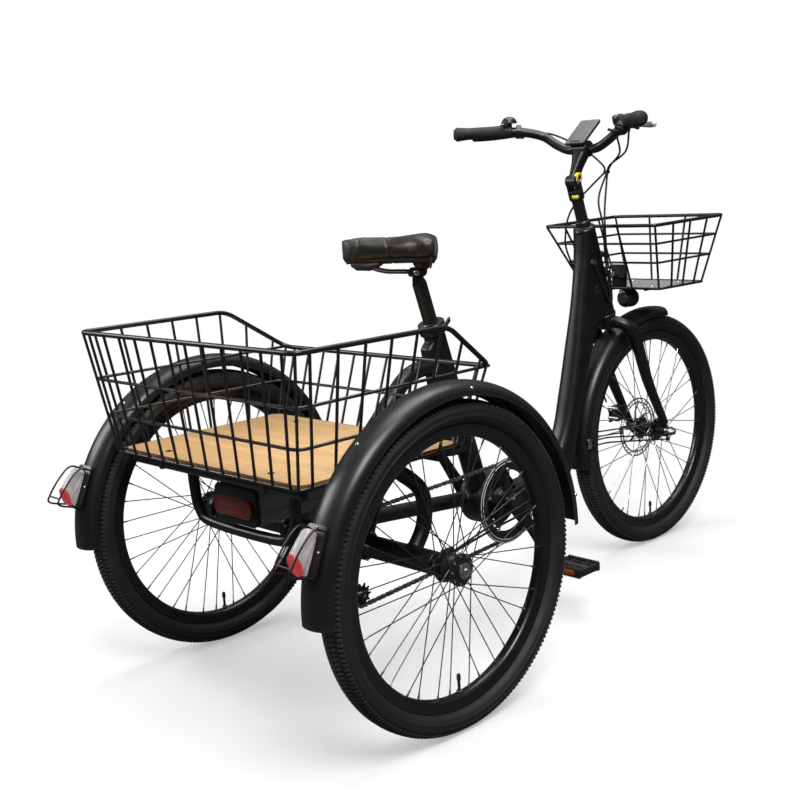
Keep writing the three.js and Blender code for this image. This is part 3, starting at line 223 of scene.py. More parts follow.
def block(low, high, bevel=0.0, turn=None, segments=3):
    """A box with rounded edges, turned about its middle."""
    low, high = Vector(low), Vector(high)
    mesh = bmesh.new()
    bmesh.ops.create_cube(mesh, size=1.0)
    for v in mesh.verts:
        v.co = Vector((v.co.x * (high.x - low.x), v.co.y * (high.y - low.y), v.co.z * (high.z - low.z)))
    if bevel:
        bmesh.ops.bevel(mesh, geom=list(mesh.edges), offset=bevel, segments=segments, profile=0.5,
                        affect="EDGES")
    centre = (low + high) / 2
    points = [(turn @ v.co if turn else v.co) + centre for v in mesh.verts]
    faces = [tuple(v.index for v in f.verts) for f in mesh.faces]
    mesh.free()
    return points, faces


def oval(centre, half_a, half_b, power=2.0, sides=32):
    """A ring between a circle (power 2) and a rounded box (higher powers)."""
    ring = []
    for k in range(sides):
        angle = 2 * math.pi * k / sides
        c, s = math.cos(angle), math.sin(angle)
        ring.append(centre + half_a * math.copysign(abs(c) ** (2 / power), c)
                    + half_b * math.copysign(abs(s) ** (2 / power), s))
    return ring


def rounded_slab(half_x, half_y, corner, thickness, edge, origin, side, up, steps=8):
    """A flat plate with round corners and eased edges, built on two directions."""
    normal = side.cross(up)
    rings = []
    profile = [(0, edge), (edge * 0.3, edge * 0.3), (edge, 0), (thickness - edge, 0),
               (thickness - edge * 0.3, edge * 0.3), (thickness, edge)]
    for height, inset in profile:
        ring = []
        for quarter, (sx, sy) in enumerate(((1, 1), (-1, 1), (-1, -1), (1, -1))):
            for k in range(steps + 1):
                angle = math.pi / 2 * (quarter + k / steps)
                reach = corner - inset
                ring.append(origin + side * (sx * (half_x - corner) + reach * math.cos(angle))
                            + up * (sy * (half_y - corner) + reach * math.sin(angle))
                            + normal * (height - thickness / 2))
        rings.append(ring)
    return skin(rings)


def plate(outline, x_low, x_high):
    """A flat plate across X whose outline is a list of (y, z) points."""
    rings = [[Vector((x, y, z)) for y, z in outline] for x in (x_low, x_high)]
    return skin(rings)


def moved(shape, matrix):
    """The shape put through a matrix."""
    points, faces = shape
    return [matrix @ Vector(p) for p in points], faces


def flipped(shape):
    """The shape on the other side of the tricycle."""
    points, faces = shape
    return mirrored_points(points), [tuple(reversed(f)) for f in faces]


class Piece:
    """One visible piece, gathered shape by shape. Each shape has its own material."""

    def __init__(self, name):
        self.name, self.points, self.faces = name, [], []
        self.looks, self.materials = [], []

    def add(self, shape, look):
        points, faces = shape
        if look not in self.materials:
            self.materials.append(look)
        start = len(self.points)
        self.points += [tuple(p) for p in points]
        self.faces += [tuple(i + start for i in f) for f in faces]
        self.looks += [self.materials.index(look)] * len(faces)
        return self

    def mesh(self, sharp=35):
        mesh = bpy.data.meshes.new(self.name)
        mesh.from_pydata(self.points, [], self.faces)
        for look in self.materials:
            mesh.materials.append(look)
        mesh.polygons.foreach_set("material_index", self.looks)
        solid = bmesh.new()
        solid.from_mesh(mesh)
        bmesh.ops.recalc_face_normals(solid, faces=solid.faces)
        solid.to_mesh(mesh)
        solid.free()
        mesh.shade_smooth()
        mesh.set_sharp_from_angle(angle=math.radians(sharp))
        return mesh

    def build(self, body, *nodes, slot=None, sharp=35):
        """Makes the object, riding on a body and standing for CAD nodes."""
        piece = bpy.data.objects.new(self.name, self.mesh(sharp))
        bpy.context.scene.collection.objects.link(piece)
        return settle(piece, body, *nodes, slot=slot)


def settle(piece, body, *nodes, slot=None):
    """Fixes a finished object to a body, in place of CAD nodes."""
    if body:
        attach(piece, body)
    if nodes:
        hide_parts(*nodes)
    return piece


def applied(piece):
    """Bakes the object's modifiers into its mesh."""
    graph = bpy.context.evaluated_depsgraph_get()
    mesh = bpy.data.meshes.new_from_object(piece.evaluated_get(graph))
    piece.modifiers.clear()
    piece.data = mesh
    return piece


def welded(piece, voxel, rounds):
    """Melts the object's overlapping bars into one smooth skin, as welds do."""
    remesh = piece.modifiers.new("weld", "REMESH")
    remesh.mode, remesh.voxel_size, remesh.use_smooth_shade = "VOXEL", voxel, True
    soften = piece.modifiers.new("soften", "SMOOTH")
    soften.factor, soften.iterations = 0.5, rounds
    return applied(piece)


# Materials.


class Look:
    """A node material whose colour, roughness and bump come from noise."""

    def __init__(self, name, colour, roughness, metal=0.0):
        self.material = bpy.data.materials.new(name)
        self.material.use_nodes = True
        self.nodes, self.links = self.material.node_tree.nodes, self.material.node_tree.links
        self.shader = self.nodes["Principled BSDF"]
        self.shader.inputs["Base Color"].default_value = (*colour, 1)
        self.shader.inputs["Roughness"].default_value = roughness
        self.shader.inputs["Metallic"].default_value = metal
        self.colour, self.roughness = colour, roughness
        self.place = self.nodes.new("ShaderNodeTexCoord").outputs["Object"]

    def link(self, source, node, socket):
        self.links.new(source, node.inputs[socket])

    def noise(self, scale, detail=4.0, stretch=None, kind="ShaderNodeTexNoise"):
        """A noise pattern in the tricycle's own space, stretched if asked."""
        node = self.nodes.new(kind)
        node.inputs["Scale"].default_value = scale
        if "Detail" in node.inputs:
            node.inputs["Detail"].default_value = detail
        place = self.place
        if stretch:
            mapping = self.nodes.new("ShaderNodeMapping")
            mapping.inputs["Scale"].default_value = stretch
            self.links.new(place, mapping.inputs["Vector"])
            place = mapping.outputs["Vector"]
        self.links.new(place, node.inputs["Vector"])
        return node

    def ramp(self, source, low, high, start=0.3, end=0.7):
        """Two colours, or two greys, mixed by a pattern."""
        node = self.nodes.new("ShaderNodeValToRGB")
        for stop, place, value in zip(node.color_ramp.elements, (start, end), (low, high)):
            stop.position = place
            stop.color = (*value, 1) if isinstance(value, tuple) else (value, value, value, 1)
        self.links.new(source, node.inputs["Fac"])
        return node.outputs["Color"]

    def vary_colour(self, other, scale, start=0.35, end=0.65, stretch=None):
        """Drifts between the base colour and another."""
        pattern = self.noise(scale, stretch=stretch).outputs["Fac"]
        colour = self.ramp(pattern, self.colour, other, start, end)
        self.link(colour, self.shader, "Base Color")
        return colour

    def vary_roughness(self, spread, scale, stretch=None):
        """Lets the roughness drift up and down."""
        pattern = self.noise(scale, stretch=stretch).outputs["Fac"]
        grey = self.ramp(pattern, max(0.02, self.roughness - spread), min(1, self.roughness + spread))
        self.link(grey, self.shader, "Roughness")

    def bump(self, source, height, strength=0.5):
        """Raises the surface by a pattern, on top of any earlier bump."""
        node = self.nodes.new("ShaderNodeBump")
        node.inputs["Distance"].default_value = height
        node.inputs["Strength"].default_value = strength
        self.links.new(source, node.inputs["Height"])
        if self.shader.inputs["Normal"].links:
            self.links.new(self.shader.inputs["Normal"].links[0].from_socket, node.inputs["Normal"])
        self.link(node.outputs["Normal"], self.shader, "Normal")

    def worn_edges(self, colour, amount=0.35):
        """Lightens the sharp outer edges, where use rubs the finish."""
        edge = self.nodes.new("ShaderNodeNewGeometry").outputs["Pointiness"]
        mask = self.ramp(edge, 0.0, amount, 0.53, 0.62)
        mix = self.nodes.new("ShaderNodeMix")
        mix.data_type = "RGBA"
        base = self.shader.inputs["Base Color"]
        if base.links:
            self.links.new(base.links[0].from_socket, mix.inputs[6])
        else:
            mix.inputs[6].default_value = base.default_value
        mix.inputs[7].default_value = (*colour, 1)
        self.links.new(mask, mix.inputs[0])
        self.link(mix.outputs[2], self.shader, "Base Color")

    def set(self, **values):
        """Sets other inputs of the shader, with _ for a space."""
        for name, value in values.items():
            self.shader.inputs[name.replace("_", " ")].default_value = value
        return self


def painted(name, colour, roughness, speck=0.00006):
    """Powder coat: a fine orange-peel skin over a soft sheen."""
    look = Look(name, colour, roughness)
    look.vary_colour(tuple(c * 1.35 for c in colour), 7)
    look.vary_roughness(0.06, 35)
    look.bump(look.noise(900).outputs["Fac"], speck, 0.35)
    look.worn_edges((0.05, 0.05, 0.052), 0.25)
    look.set(Coat_Weight=0.12, Coat_Roughness=0.3)
    return look.material


def fender_plastic():
    look = Look("fender_plastic", (0.0075, 0.0072, 0.0068), 0.34)
    look.vary_colour((0.0105, 0.0100, 0.0095), 9)
    look.vary_roughness(0.05, 22)
    look.bump(look.noise(1500).outputs["Fac"], 0.00004, 0.3)
    look.worn_edges((0.10, 0.10, 0.10), 0.3)
    return look.material


def moulded(name, colour, roughness=0.55):
    """Moulded plastic with a fine spark-eroded texture."""
    look = Look(name, colour, roughness)
    look.vary_colour(tuple(c * 1.3 for c in colour), 14)
    look.bump(look.noise(1800, detail=2).outputs["Fac"], 0.0001, 0.4)
    look.worn_edges(tuple(min(1, c * 2.0 + 0.015) for c in colour), 0.3)
    return look.material


def tyre_rubber():
    look = Look("tyre_rubber", (0.0105, 0.0098, 0.0095), 0.62)
    look.vary_colour((0.0165, 0.0155, 0.0150), 12)
    look.vary_roughness(0.1, 18)
    look.bump(look.noise(1400).outputs["Fac"], 0.00012, 0.4)
    look.worn_edges((0.075, 0.07, 0.065), 0.4)
    return look.material


def bare_metal(name, colour, roughness, stretch=(1, 1, 1)):
    """Bare metal with fine brushing along one way."""
    look = Look(name, colour, roughness, 1.0)
    look.vary_roughness(0.1, 160, stretch)
    look.bump(look.noise(700, stretch=stretch).outputs["Fac"], 0.00003, 0.4)
    look.vary_colour(tuple(c * 0.75 for c in colour), 45)
    return look.material


def chain_steel():
    look = Look("chain_steel", (0.30, 0.295, 0.28), 0.34, 0.95)
    look.vary_colour((0.10, 0.095, 0.085), 160, 0.42, 0.62)
    look.vary_roughness(0.12, 200)
    return look.material


def bamboo():
    """Pressed bamboo: narrow strips with long fibres and a node line here and there."""
    look = Look("bamboo", (0.66, 0.41, 0.19), 0.38)
    strips = look.nodes.new("ShaderNodeTexBrick")
    strips.offset, strips.inputs["Scale"].default_value = 0.37, 1.0
    for name, value in (("Brick Width", 0.42), ("Row Height", 0.021), ("Mortar Size", 0.0004),
                        ("Mortar Smooth", 0.6), ("Bias", 0.0)):
        strips.inputs[name].default_value = value
    for name, value in (("Color1", (0.70, 0.45, 0.215)), ("Color2", (0.60, 0.36, 0.155)),
                        ("Mortar", (0.42, 0.23, 0.09))):
        strips.inputs[name].default_value = (*value, 1)
    look.links.new(look.place, strips.inputs["Vector"])
    fibres = look.noise(30, 8, stretch=(1.2, 26, 26)).outputs["Fac"]
    tone = look.ramp(fibres, (0.80, 0.80, 0.80), (1.10, 1.08, 1.04), 0.35, 0.68)
    mix = look.nodes.new("ShaderNodeMix")
    mix.data_type, mix.blend_type = "RGBA", "MULTIPLY"
    mix.inputs[0].default_value = 1.0
    look.links.new(strips.outputs["Color"], mix.inputs[6])
    look.links.new(tone, mix.inputs[7])
    look.link(mix.outputs[2], look.shader, "Base Color")
    look.bump(fibres, 0.0002, 0.3)
    look.vary_roughness(0.07, 40, (1, 12, 12))
    look.set(Coat_Weight=0.25, Coat_Roughness=0.25)
    return look.material


def scorched_edge():
    """The deck's cut edge, browned and striped by its plies."""
    look = Look("deck_edge", (0.25, 0.115, 0.04), 0.55)
    look.vary_colour((0.13, 0.06, 0.022), 260, stretch=(0.15, 0.15, 3))
    look.bump(look.noise(300, stretch=(0.3, 0.3, 3)).outputs["Fac"], 0.0003, 0.4)
    return look.material


def leather(name, colour, roughness=0.42):
    """Coated saddle cover with a fine pebbled grain."""
    look = Look(name, colour, roughness)
    cells = look.noise(900, kind="ShaderNodeTexVoronoi").outputs["Distance"]
    look.bump(cells, 0.0003, 0.35)
    look.bump(look.noise(70).outputs["Fac"], 0.0006, 0.25)
    look.vary_colour(tuple(c * 1.5 for c in colour), 24)
    look.vary_roughness(0.08, 60)
    look.set(Sheen_Weight=0.08, Sheen_Roughness=0.4)
    return look.material


def clear_plastic(name, colour, glow=0.0):
    """A lens: tinted, smooth and partly see-through."""
    look = Look(name, colour, 0.08)
    look.vary_colour(tuple(c * 0.8 for c in colour), 60)
    ribs = look.noise(260, kind="ShaderNodeTexVoronoi").outputs["Distance"]
    look.bump(ribs, 0.0006, 0.5)
    look.set(Transmission_Weight=0.55, IOR=1.49, Coat_Weight=0.6, Coat_Roughness=0.05)
    if glow:
        look.set(Emission_Color=(*colour, 1), Emission_Strength=glow)
    return look.material


FADE_START, FADE_END = 0.8, 2.4
FLOOR_GLOW, FLOOR_LIFT = 1.0, 0.40


def pale_floor():
    """A near-white floor with soft shadows that fades into the backdrop, and is dim in reflections."""
    look = Look("pale_floor", (0.95, 0.95, 0.95), 0.7)
    look.vary_colour((0.93, 0.93, 0.93), 1.5)
    nodes, links = look.nodes, look.links
    spread = nodes.new("ShaderNodeVectorMath")
    spread.operation = "LENGTH"
    links.new(look.place, spread.inputs[0])
    fade = nodes.new("ShaderNodeMapRange")
    fade.interpolation_type = "SMOOTHSTEP"
    fade.inputs["From Min"].default_value, fade.inputs["From Max"].default_value = FADE_START, FADE_END
    fade.inputs["To Min"].default_value = FLOOR_LIFT
    links.new(spread.outputs["Value"], fade.inputs["Value"])
    white, dark = nodes.new("ShaderNodeEmission"), nodes.new("ShaderNodeBsdfDiffuse")
    white.inputs["Strength"].default_value = FLOOR_GLOW
    dark.inputs["Color"].default_value = (0.10, 0.10, 0.10, 1)
    seen, mix = nodes.new("ShaderNodeMixShader"), nodes.new("ShaderNodeMixShader")
    links.new(fade.outputs["Result"], mix.inputs[0])
    links.new(look.shader.outputs[0], mix.inputs[1])
    links.new(white.outputs[0], mix.inputs[2])
    links.new(nodes.new("ShaderNodeLightPath").outputs["Is Camera Ray"], seen.inputs[0])
    links.new(dark.outputs[0], seen.inputs[1])
    links.new(mix.outputs[0], seen.inputs[2])
    links.new(seen.outputs[0], nodes["Material Output"].inputs["Surface"])
    return look.material


PAINT = painted("frame_paint", (0.0042, 0.0042, 0.0044), 0.36)
SATIN = painted("satin_black", (0.0050, 0.0050, 0.0052), 0.32)
WIRE = painted("wire_coating", (0.0034, 0.0034, 0.0036), 0.30)
RIM = painted("rim_black", (0.0040, 0.0040, 0.0042), 0.24)
HUB = painted("hub_black", (0.0065, 0.0065, 0.0068), 0.30)
DARK_SPOKE = painted("spoke_black", (0.010, 0.010, 0.0105), 0.3)
FENDER = fender_plastic()
PLASTIC = moulded("black_plastic", (0.0075, 0.0075, 0.0078))
SOFT = moulded("grip_rubber", (0.012, 0.012, 0.012), 0.7)
RUBBER = tyre_rubber()
STEEL = bare_metal("bright_steel", (0.62, 0.62, 0.61), 0.26)
LIGHT_SPOKE = bare_metal("spoke_steel", (0.55, 0.55, 0.54), 0.3)
SILVER = painted("silver_paint", (0.50, 0.50, 0.49), 0.28)
CASE_GREY = painted("case_grey", (0.24, 0.235, 0.225), 0.35)
RING_LINE = painted("ring_line", (0.72, 0.72, 0.70), 0.35)
ALLOY = bare_metal("brushed_alloy", (0.66, 0.665, 0.67), 0.34, (6, 1, 1))
CHAIN = chain_steel()
WOOD = bamboo()
WOOD_EDGE = scorched_edge()
TRAY = moulded("tray_grey", (0.20, 0.205, 0.20), 0.5)
SCREEN = moulded("screen_grey", (0.085, 0.088, 0.090), 0.6)
YELLOW = moulded("safety_yellow", (0.72, 0.55, 0.03), 0.4)
AMBER = clear_plastic("amber_reflector", (0.80, 0.19, 0.01))
RED_LENS = clear_plastic("red_lens", (0.42, 0.008, 0.014))
LAMP_RED = clear_plastic("lamp_red", (0.66, 0.085, 0.09), 0.22)
LAMP_CLEAR = clear_plastic("lamp_clear", (0.80, 0.77, 0.76), 0.06)
COVER = leather("saddle_cover", (0.0110, 0.0098, 0.0086), 0.36)
# The saddle's nose gets a lighter copy of the cover: a painted highlight where the raised, rounded nose catches the
# light from above.
NOSE_HIGHLIGHT_COVER = leather("saddle_nose_painted_highlight", (0.0220, 0.0205, 0.0180), 0.44)
PIPING = leather("saddle_piping", (0.012, 0.011, 0.010), 0.5)

# Wheels.

SPOKES = 36
SPOKE_RADIUS = 0.0011
RIM_INNER, RIM_OUTER = 0.238, 0.259
TREAD_REPEATS = 200
TREAD_HEIGHT = 0.0022
CROWN = [(-0.0266, 0.2900), (-0.0240, 0.2945), (-0.0195, 0.2985), (-0.0120, 0.3015), (0.0, 0.3028),
         (0.0120, 0.3015), (0.0195, 0.2985), (0.0240, 0.2945), (0.0266, 0.2900)]
SIDEWALL = [(0.0098, 0.2550), (0.0112, 0.2602), (0.0118, 0.2622), (0.0150, 0.2628), (0.0160, 0.2645),
            (0.0205, 0.2662), (0.0238, 0.2700), (0.0258, 0.2745), (0.0262, 0.2760), (0.0270, 0.2764),
            (0.0272, 0.2785), (0.0266, 0.2790), (0.0270, 0.2830), (0.0269, 0.2862), (0.0274, 0.2866),
            (0.0272, 0.2884)]


def tyre_body(centre):
    """A tyre without its tread: bead, ringed sidewalls and crown."""
    left = [(-across, radius) for across, radius in SIDEWALL]
    profile = [*left, *CROWN, *reversed(SIDEWALL)]
    return lathe(profile, centre, X, 120, loop=True)


def crown_spot(across, angle, lift):
    """A point above the tyre's crown."""
    radius = float(np.interp(across, [c[0] for c in CROWN], [c[1] for c in CROWN]))
    slope = float(np.interp(across + 0.001, [c[0] for c in CROWN], [c[1] for c in CROWN])) - radius
    outward = Vector((-slope / 0.001, 1)).normalized()
    reach = radius + outward.y * lift
    return Vector((across + outward.x * lift, reach * math.cos(angle), reach * math.sin(angle)))


def tread_block(corners, step, index):
    """One raised block. Its corners are (across, share of the repeat) pairs."""
    centre_a = sum(c[0] for c in corners) / len(corners)
    centre_s = sum(c[1] for c in corners) / len(corners)
    rings = []
    for lift, shrink in ((-0.0012, 1.0), (TREAD_HEIGHT * 0.8, 0.93), (TREAD_HEIGHT, 0.80)):
        rings.append([crown_spot(centre_a + (a - centre_a) * shrink,
                                 (index + centre_s + (s - centre_s) * shrink) * step, lift)
                      for a, s in corners])
    return skin(rings)


def tread(piece, centre, look):
    """Chevron blocks along the crown and small square blocks on the shoulders."""
    step = 2 * math.pi / TREAD_REPEATS
    chevron = [(0.0012, 0.05), (0.0135, 0.52), (0.0135, 1.02), (0.0012, 0.60)]
    shoulder = [(0.0155, 0.12), (0.0245, 0.20), (0.0245, 0.78), (0.0155, 0.70)]
    for i in range(TREAD_REPEATS):
        for side, shift in ((1, 0.0), (-1, 0.5)):
            for corners in (chevron, shoulder):
                block_corners = [(side * a, s + shift) for a, s in corners]
                shape = tread_block(block_corners, step, i)
                piece.add(moved(shape, Matrix.Translation(centre)), look)


def rim_shape(centre):
    """A double-wall rim with a flat brake-free side and a rolled edge."""
    half = [(0.0, 0.2380), (0.0050, 0.2383), (0.0092, 0.2400), (0.0122, 0.2440), (0.0134, 0.2490),
            (0.0134, 0.2575), (0.0139, 0.2585), (0.0138, 0.2610), (0.0128, 0.2618), (0.0118, 0.2606),
            (0.0114, 0.2560), (0.0080, 0.2545), (0.0, 0.2540)]
    other = [(-x, r) for x, r in reversed(half[1:-1])]
    return lathe([*half, *other], centre, X, 160, loop=True)


def lace(piece, centre, flange_x, flange_radius, spoke, side_reach=0.0045):
    """Spokes crossed three times between two flanges and the rim, each with its nipple."""
    sweep_angle = math.radians(62)
    for i in range(SPOKES):
        rim_angle = 2 * math.pi * (i + 0.5) / SPOKES
        side = 1 if i % 2 else -1
        lead = 1 if i % 4 < 2 else -1
        hub_angle = rim_angle + lead * sweep_angle
        low = centre + Vector((side * flange_x + lead * 0.0018, flange_radius * math.cos(hub_angle),
                               flange_radius * math.sin(hub_angle)))
        out = Vector((0, math.cos(rim_angle), math.sin(rim_angle)))
        high = centre + X * side * side_reach + out * RIM_INNER
        piece.add(rod(low, high, SPOKE_RADIUS, 7), spoke)
        way = (low - high).normalized()
        piece.add(rod(high - way * 0.002, high + way * 0.011, 0.0021, 8, 0.0016), STEEL)
        piece.add(lathe([(-0.0012, 0), (-0.0012, 0.0026), (0.0012, 0.0026), (0.0012, 0)],
                        low + X * lead * 0.001, X, 10), STEEL)


def valve(piece, centre):
    """The valve stem that stands out of the rim, with its cap."""
    foot = centre + Z * -(RIM_INNER - 0.002)
    piece.add(lathe([(0, 0.0035), (0.003, 0.0035), (0.004, 0.0028), (0.022, 0.0028), (0.023, 0.0040),
                     (0.033, 0.0036), (0.035, 0.0018), (0.035, 0)], foot, Z, 14), PLASTIC)
    piece.add(lathe([(0, 0), (0, 0.0058), (0.003, 0.0055), (0.0035, 0)], foot, Z, 12), STEEL)


def hub_shell(piece, centre, flange_x, core, flange_radius, half):
    """A hub with two drilled flanges and a waisted barrel."""
    edge = flange_radius + 0.004
    left = [(-half, 0.004), (-half, 0.011), (-half + 0.004, 0.012), (-flange_x - 0.005, 0.013),
            (-flange_x - 0.0022, edge - 0.002), (-flange_x - 0.0015, edge), (-flange_x + 0.0015, edge),
            (-flange_x + 0.0022, edge - 0.002), (-flange_x + 0.006, core + 0.001),
            (-flange_x + 0.012, core)]
    right = [(-a, r) for a, r in reversed(left)]
    piece.add(lathe([*left, *right], centre, X, 40), HUB)


def wheel(name, body, centre, outward, front=False):
    """A tyre, a rim and a laced hub."""
    tyre = Piece(f"{name}_tyre_rubber")
    tyre.add(tyre_body(centre), RUBBER)
    tread(tyre, centre, RUBBER)
    tyre.build(body, f"{name}_tyre", slot="tyre_rubber", sharp=50)
    rim = Piece(f"{name}_rim_band")
    rim.add(rim_shape(centre), RIM)
    valve(rim, centre)
    rim.build(body, f"{name}_rim", slot="rim_paint")
    hub = Piece(f"{name}_hub_and_spokes")
    flange_x = 0.024 if front else 0.019
    hub_shell(hub, centre, flange_x, 0.018 if front else 0.017, 0.026, 0.033 if front else 0.026)
    lace(hub, centre, flange_x, 0.026, LIGHT_SPOKE if front else DARK_SPOKE)
    if not front:
        half_shaft(hub, centre, outward)
    hub.build(body, f"{name}_hub", slot="hub_paint")


def half_shaft(piece, centre, outward):
    """The shaft that turns a rear wheel, its nut, washer and threaded end."""
    way = X * outward
    piece.add(rod(centre - way * 0.35, centre + way * 0.020, 0.008), STEEL)
    piece.add(lathe([(0.026, 0), (0.026, 0.0145), (0.0285, 0.0145), (0.0285, 0)], centre, way, 32), STEEL)
    piece.add(rod(centre + way * 0.0285, centre + way * 0.0345, 0.0115, 6), STEEL)
    piece.add(lathe([(0.030, 0), (0.030, 0.0068), (0.0370, 0.0068), (0.0378, 0.0055), (0.0378, 0)],
                    centre, way, 20), STEEL)
    piece.add(lathe([(-0.010, 0.024), (0.008, 0.024), (0.016, 0.019), (0.025, 0.0175), (0.026, 0.012)],
                    centre, way, 32), SATIN)


def brake_disc():
    """A vented disc with a scalloped rim and slanted arms, bolted to the front hub."""
    low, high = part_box("brake_rotor")
    x = (low.x + high.x) / 2
    centre = Vector((x, FRONT_AXLE.y, FRONT_AXLE.z))
    disc = Piece("front_brake_disc")
    inner, outer, half = 0.0655, 0.0795, 0.0009
    slots = 36
    for lo, hi in ((inner, inner + 0.0035), (outer - 0.0035, outer)):
        disc.add(lathe([(-half, lo), (-half, hi), (half, hi), (half, lo)], centre, X, 96, loop=True), STEEL)
    for i in range(slots):
        angle = 2 * math.pi * i / slots
        a = Vector((0, math.cos(angle), math.sin(angle)))
        b = Vector((0, math.cos(angle + 0.05), math.sin(angle + 0.05)))
        disc.add(tube([centre + a * (inner + 0.002), centre + b * (outer - 0.002)], 0.0017, 4, flat=0.5), STEEL)
    for i in range(6):
        angle = 2 * math.pi * i / 6
        a = Vector((0, math.cos(angle), math.sin(angle)))
        b = Vector((0, math.cos(angle + 0.62), math.sin(angle + 0.62)))
        disc.add(tube([centre + a * 0.021, centre + (a + b) * 0.024, centre + b * (inner + 0.002)],
                      (0.0045, 0.0026), 6, flat=0.4), SATIN)
        disc.add(rod(centre + a * 0.0195 - X * 0.002, centre + a * 0.0195 + X * 0.004, 0.0035, 12), STEEL)
    disc.add(lathe([(-0.006, 0.0125), (-0.006, 0.021), (0.0015, 0.0245), (0.003, 0.0125)],
                   centre, X, 40, loop=True), SATIN)
    disc.build("front_wheel", "brake_rotor", slot="chain_steel")


def add_wheels():
    wheel("rear_left", "rear_wheel_left", pivot("rear_left_spin"), 1)
    wheel("rear_right", "rear_wheel_right", pivot("rear_right_spin"), -1)
    wheel("front", "front_wheel", FRONT_AXLE, 1, front=True)
    brake_disc()


# Fenders.


def channel(width, depth, wall=0.0018, lip=0.0022, count=22):
    """A fender's section: a shallow arch with rolled edges, as (across, outward) points."""
    half = width / 2
    outer, inner = [], []
    for i in range(count + 1):
        angle = math.pi * i / count
        c, s = math.cos(angle), math.sin(angle)
        reach = abs(c) ** 0.92 * (1 if c >= 0 else -1)
        outer.append((half * reach, depth * s ** 0.85 - depth))
        inner.append(((half - wall) * reach, (depth - wall) * s ** 0.85 - depth))
    edge_out = [(half + lip * 0.25, -depth - lip * 0.5), (half - lip * 0.4, -depth - lip)]
    edge_in = [(half - lip * 1.1, -depth - lip * 0.4)]
    left_out = [(-x, y) for x, y in edge_out]
    left_in = [(-x, y) for x, y in edge_in]
    return [*outer, left_out[0], left_out[1], left_in[0], *reversed(inner), edge_in[0], edge_out[1],
            edge_out[0]]


def bolt(piece, spot, way, radius=0.0045, look=None):
    """A domed button-head bolt with a hex socket."""
    look = look or STEEL
    piece.add(lathe([(-0.002, 0), (-0.002, radius), (0.0006, radius), (0.0022, radius * 0.78),
                     (0.0030, radius * 0.5), (0.0030, radius * 0.45), (0.0016, radius * 0.42), (0.0016, 0)],
                    spot, way, 20), look)


def on_arc(centre, radius, degrees, across):
    """A point on a circle round a wheel's axle. Angle 0 points back."""
    angle = math.radians(degrees)
    return centre + Vector((across, radius * math.cos(angle), radius * math.sin(angle)))


def rear_fender(name, side):
    """A rear fender, its bracket, stays and bolts."""
    centre = REAR_AXLE + X * side * abs(pivot("rear_left_spin").x)
    piece = Piece(f"rear_mudguard_{name}")
    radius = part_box(f"rear_fender_{name}")[1].z - centre.z
    piece.add(sweep(channel(0.070, 0.024), centre, radius, -2, 178.5, 110), FENDER)
    inner = -side * 0.0335
    foot = centre + Vector((-side * 0.036, -0.016, 0.008))
    for degrees, bend in ((172, 166), (168, 160)):
        top = on_arc(centre, radius - 0.020, degrees, inner)
        piece.add(tube(curve([foot, foot.lerp(top, 0.5) + Z * 0.004, top], 6), 0.0023, 10), SATIN)
        bolt(piece, on_arc(centre, radius - 0.018, degrees, -side * 0.0352), X * -side)
    tip = on_arc(centre, radius - 0.020, 30, inner)
    piece.add(block(foot + Vector((-0.003, -0.024, -0.014)), foot + Vector((0.003, 0.008, 0.016)), 0.002), SATIN)
    bolt(piece, foot + Vector((-side * 0.004, -0.006, 0.002)), X * -side)
    for degrees in (52, 118):
        bolt(piece, on_arc(centre, radius + 0.0002, degrees, -side * 0.004),
             on_arc(Vector(), 1, degrees, 0), 0.0042)
    bolt(piece, on_arc(centre, radius - 0.013, 96, side * 0.0325), X * side, 0.0036)
    bolt(piece, on_arc(centre, radius - 0.013, 168, side * 0.0325), X * side, 0.0036)
    piece.build("frame", f"rear_fender_{name}", slot="fender_plastic", sharp=50)


def front_fender():
    """The front fender with its double wire stays and light clips."""
    piece = Piece("front_mudguard")
    radius = 0.327
    piece.add(sweep(channel(0.066, 0.022), FRONT_AXLE, radius, -8, 99, 90), FENDER)
    crown = (on_head(-0.030) - FRONT_AXLE).normalized()
    piece.add(rod(FRONT_AXLE + crown * (radius - 0.004), on_head(-0.030), 0.007, 16), SATIN)
    for side in (-1, 1):
        clip = on_arc(FRONT_AXLE, radius - 0.019, 4, side * 0.0335)
        for lift, foot_lift in ((0.006, -0.004), (-0.007, -0.016)):
            foot = FRONT_AXLE + Vector((side * 0.073, 0.022, foot_lift))
            knee = clip + Vector((side * 0.004, -0.070, lift - 0.002))
            piece.add(tube(rounded([foot, knee, clip + Z * lift], 0.02), 0.0020, 10), SATIN)
        piece.add(block(clip + Vector((-0.004, -0.004, -0.012)), clip + Vector((0.004, 0.010, 0.012)),
                        0.002), STEEL)
        eye = FRONT_AXLE + Vector((side * 0.073, 0.022, -0.010))
        piece.add(block(eye - Vector((0.003, 0.006, 0.011)), eye + Vector((0.003, 0.006, 0.011)), 0.002), SATIN)
        bolt(piece, eye + X * side * 0.004, X * side, 0.0045)
    bolt(piece, on_arc(FRONT_AXLE, radius + 0.0002, 84, 0), on_arc(Vector(), 1, 84, 0), 0.0042)
    piece.build("steering", "front_fender", slot="fender_plastic", sharp=50)


def add_fenders():
    rear_fender("left", 1)
    rear_fender("right", -1)
    front_fender()


# Main frame.

RAIL_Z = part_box("cargo_deck")[0].z - 0.0103
RAIL_X = 0.158
DECK_LOW, DECK_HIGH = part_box("cargo_deck")
SEAT_TUBE_TOP = 0.441
HALF_TRACK = pivot("rear_left_spin").x


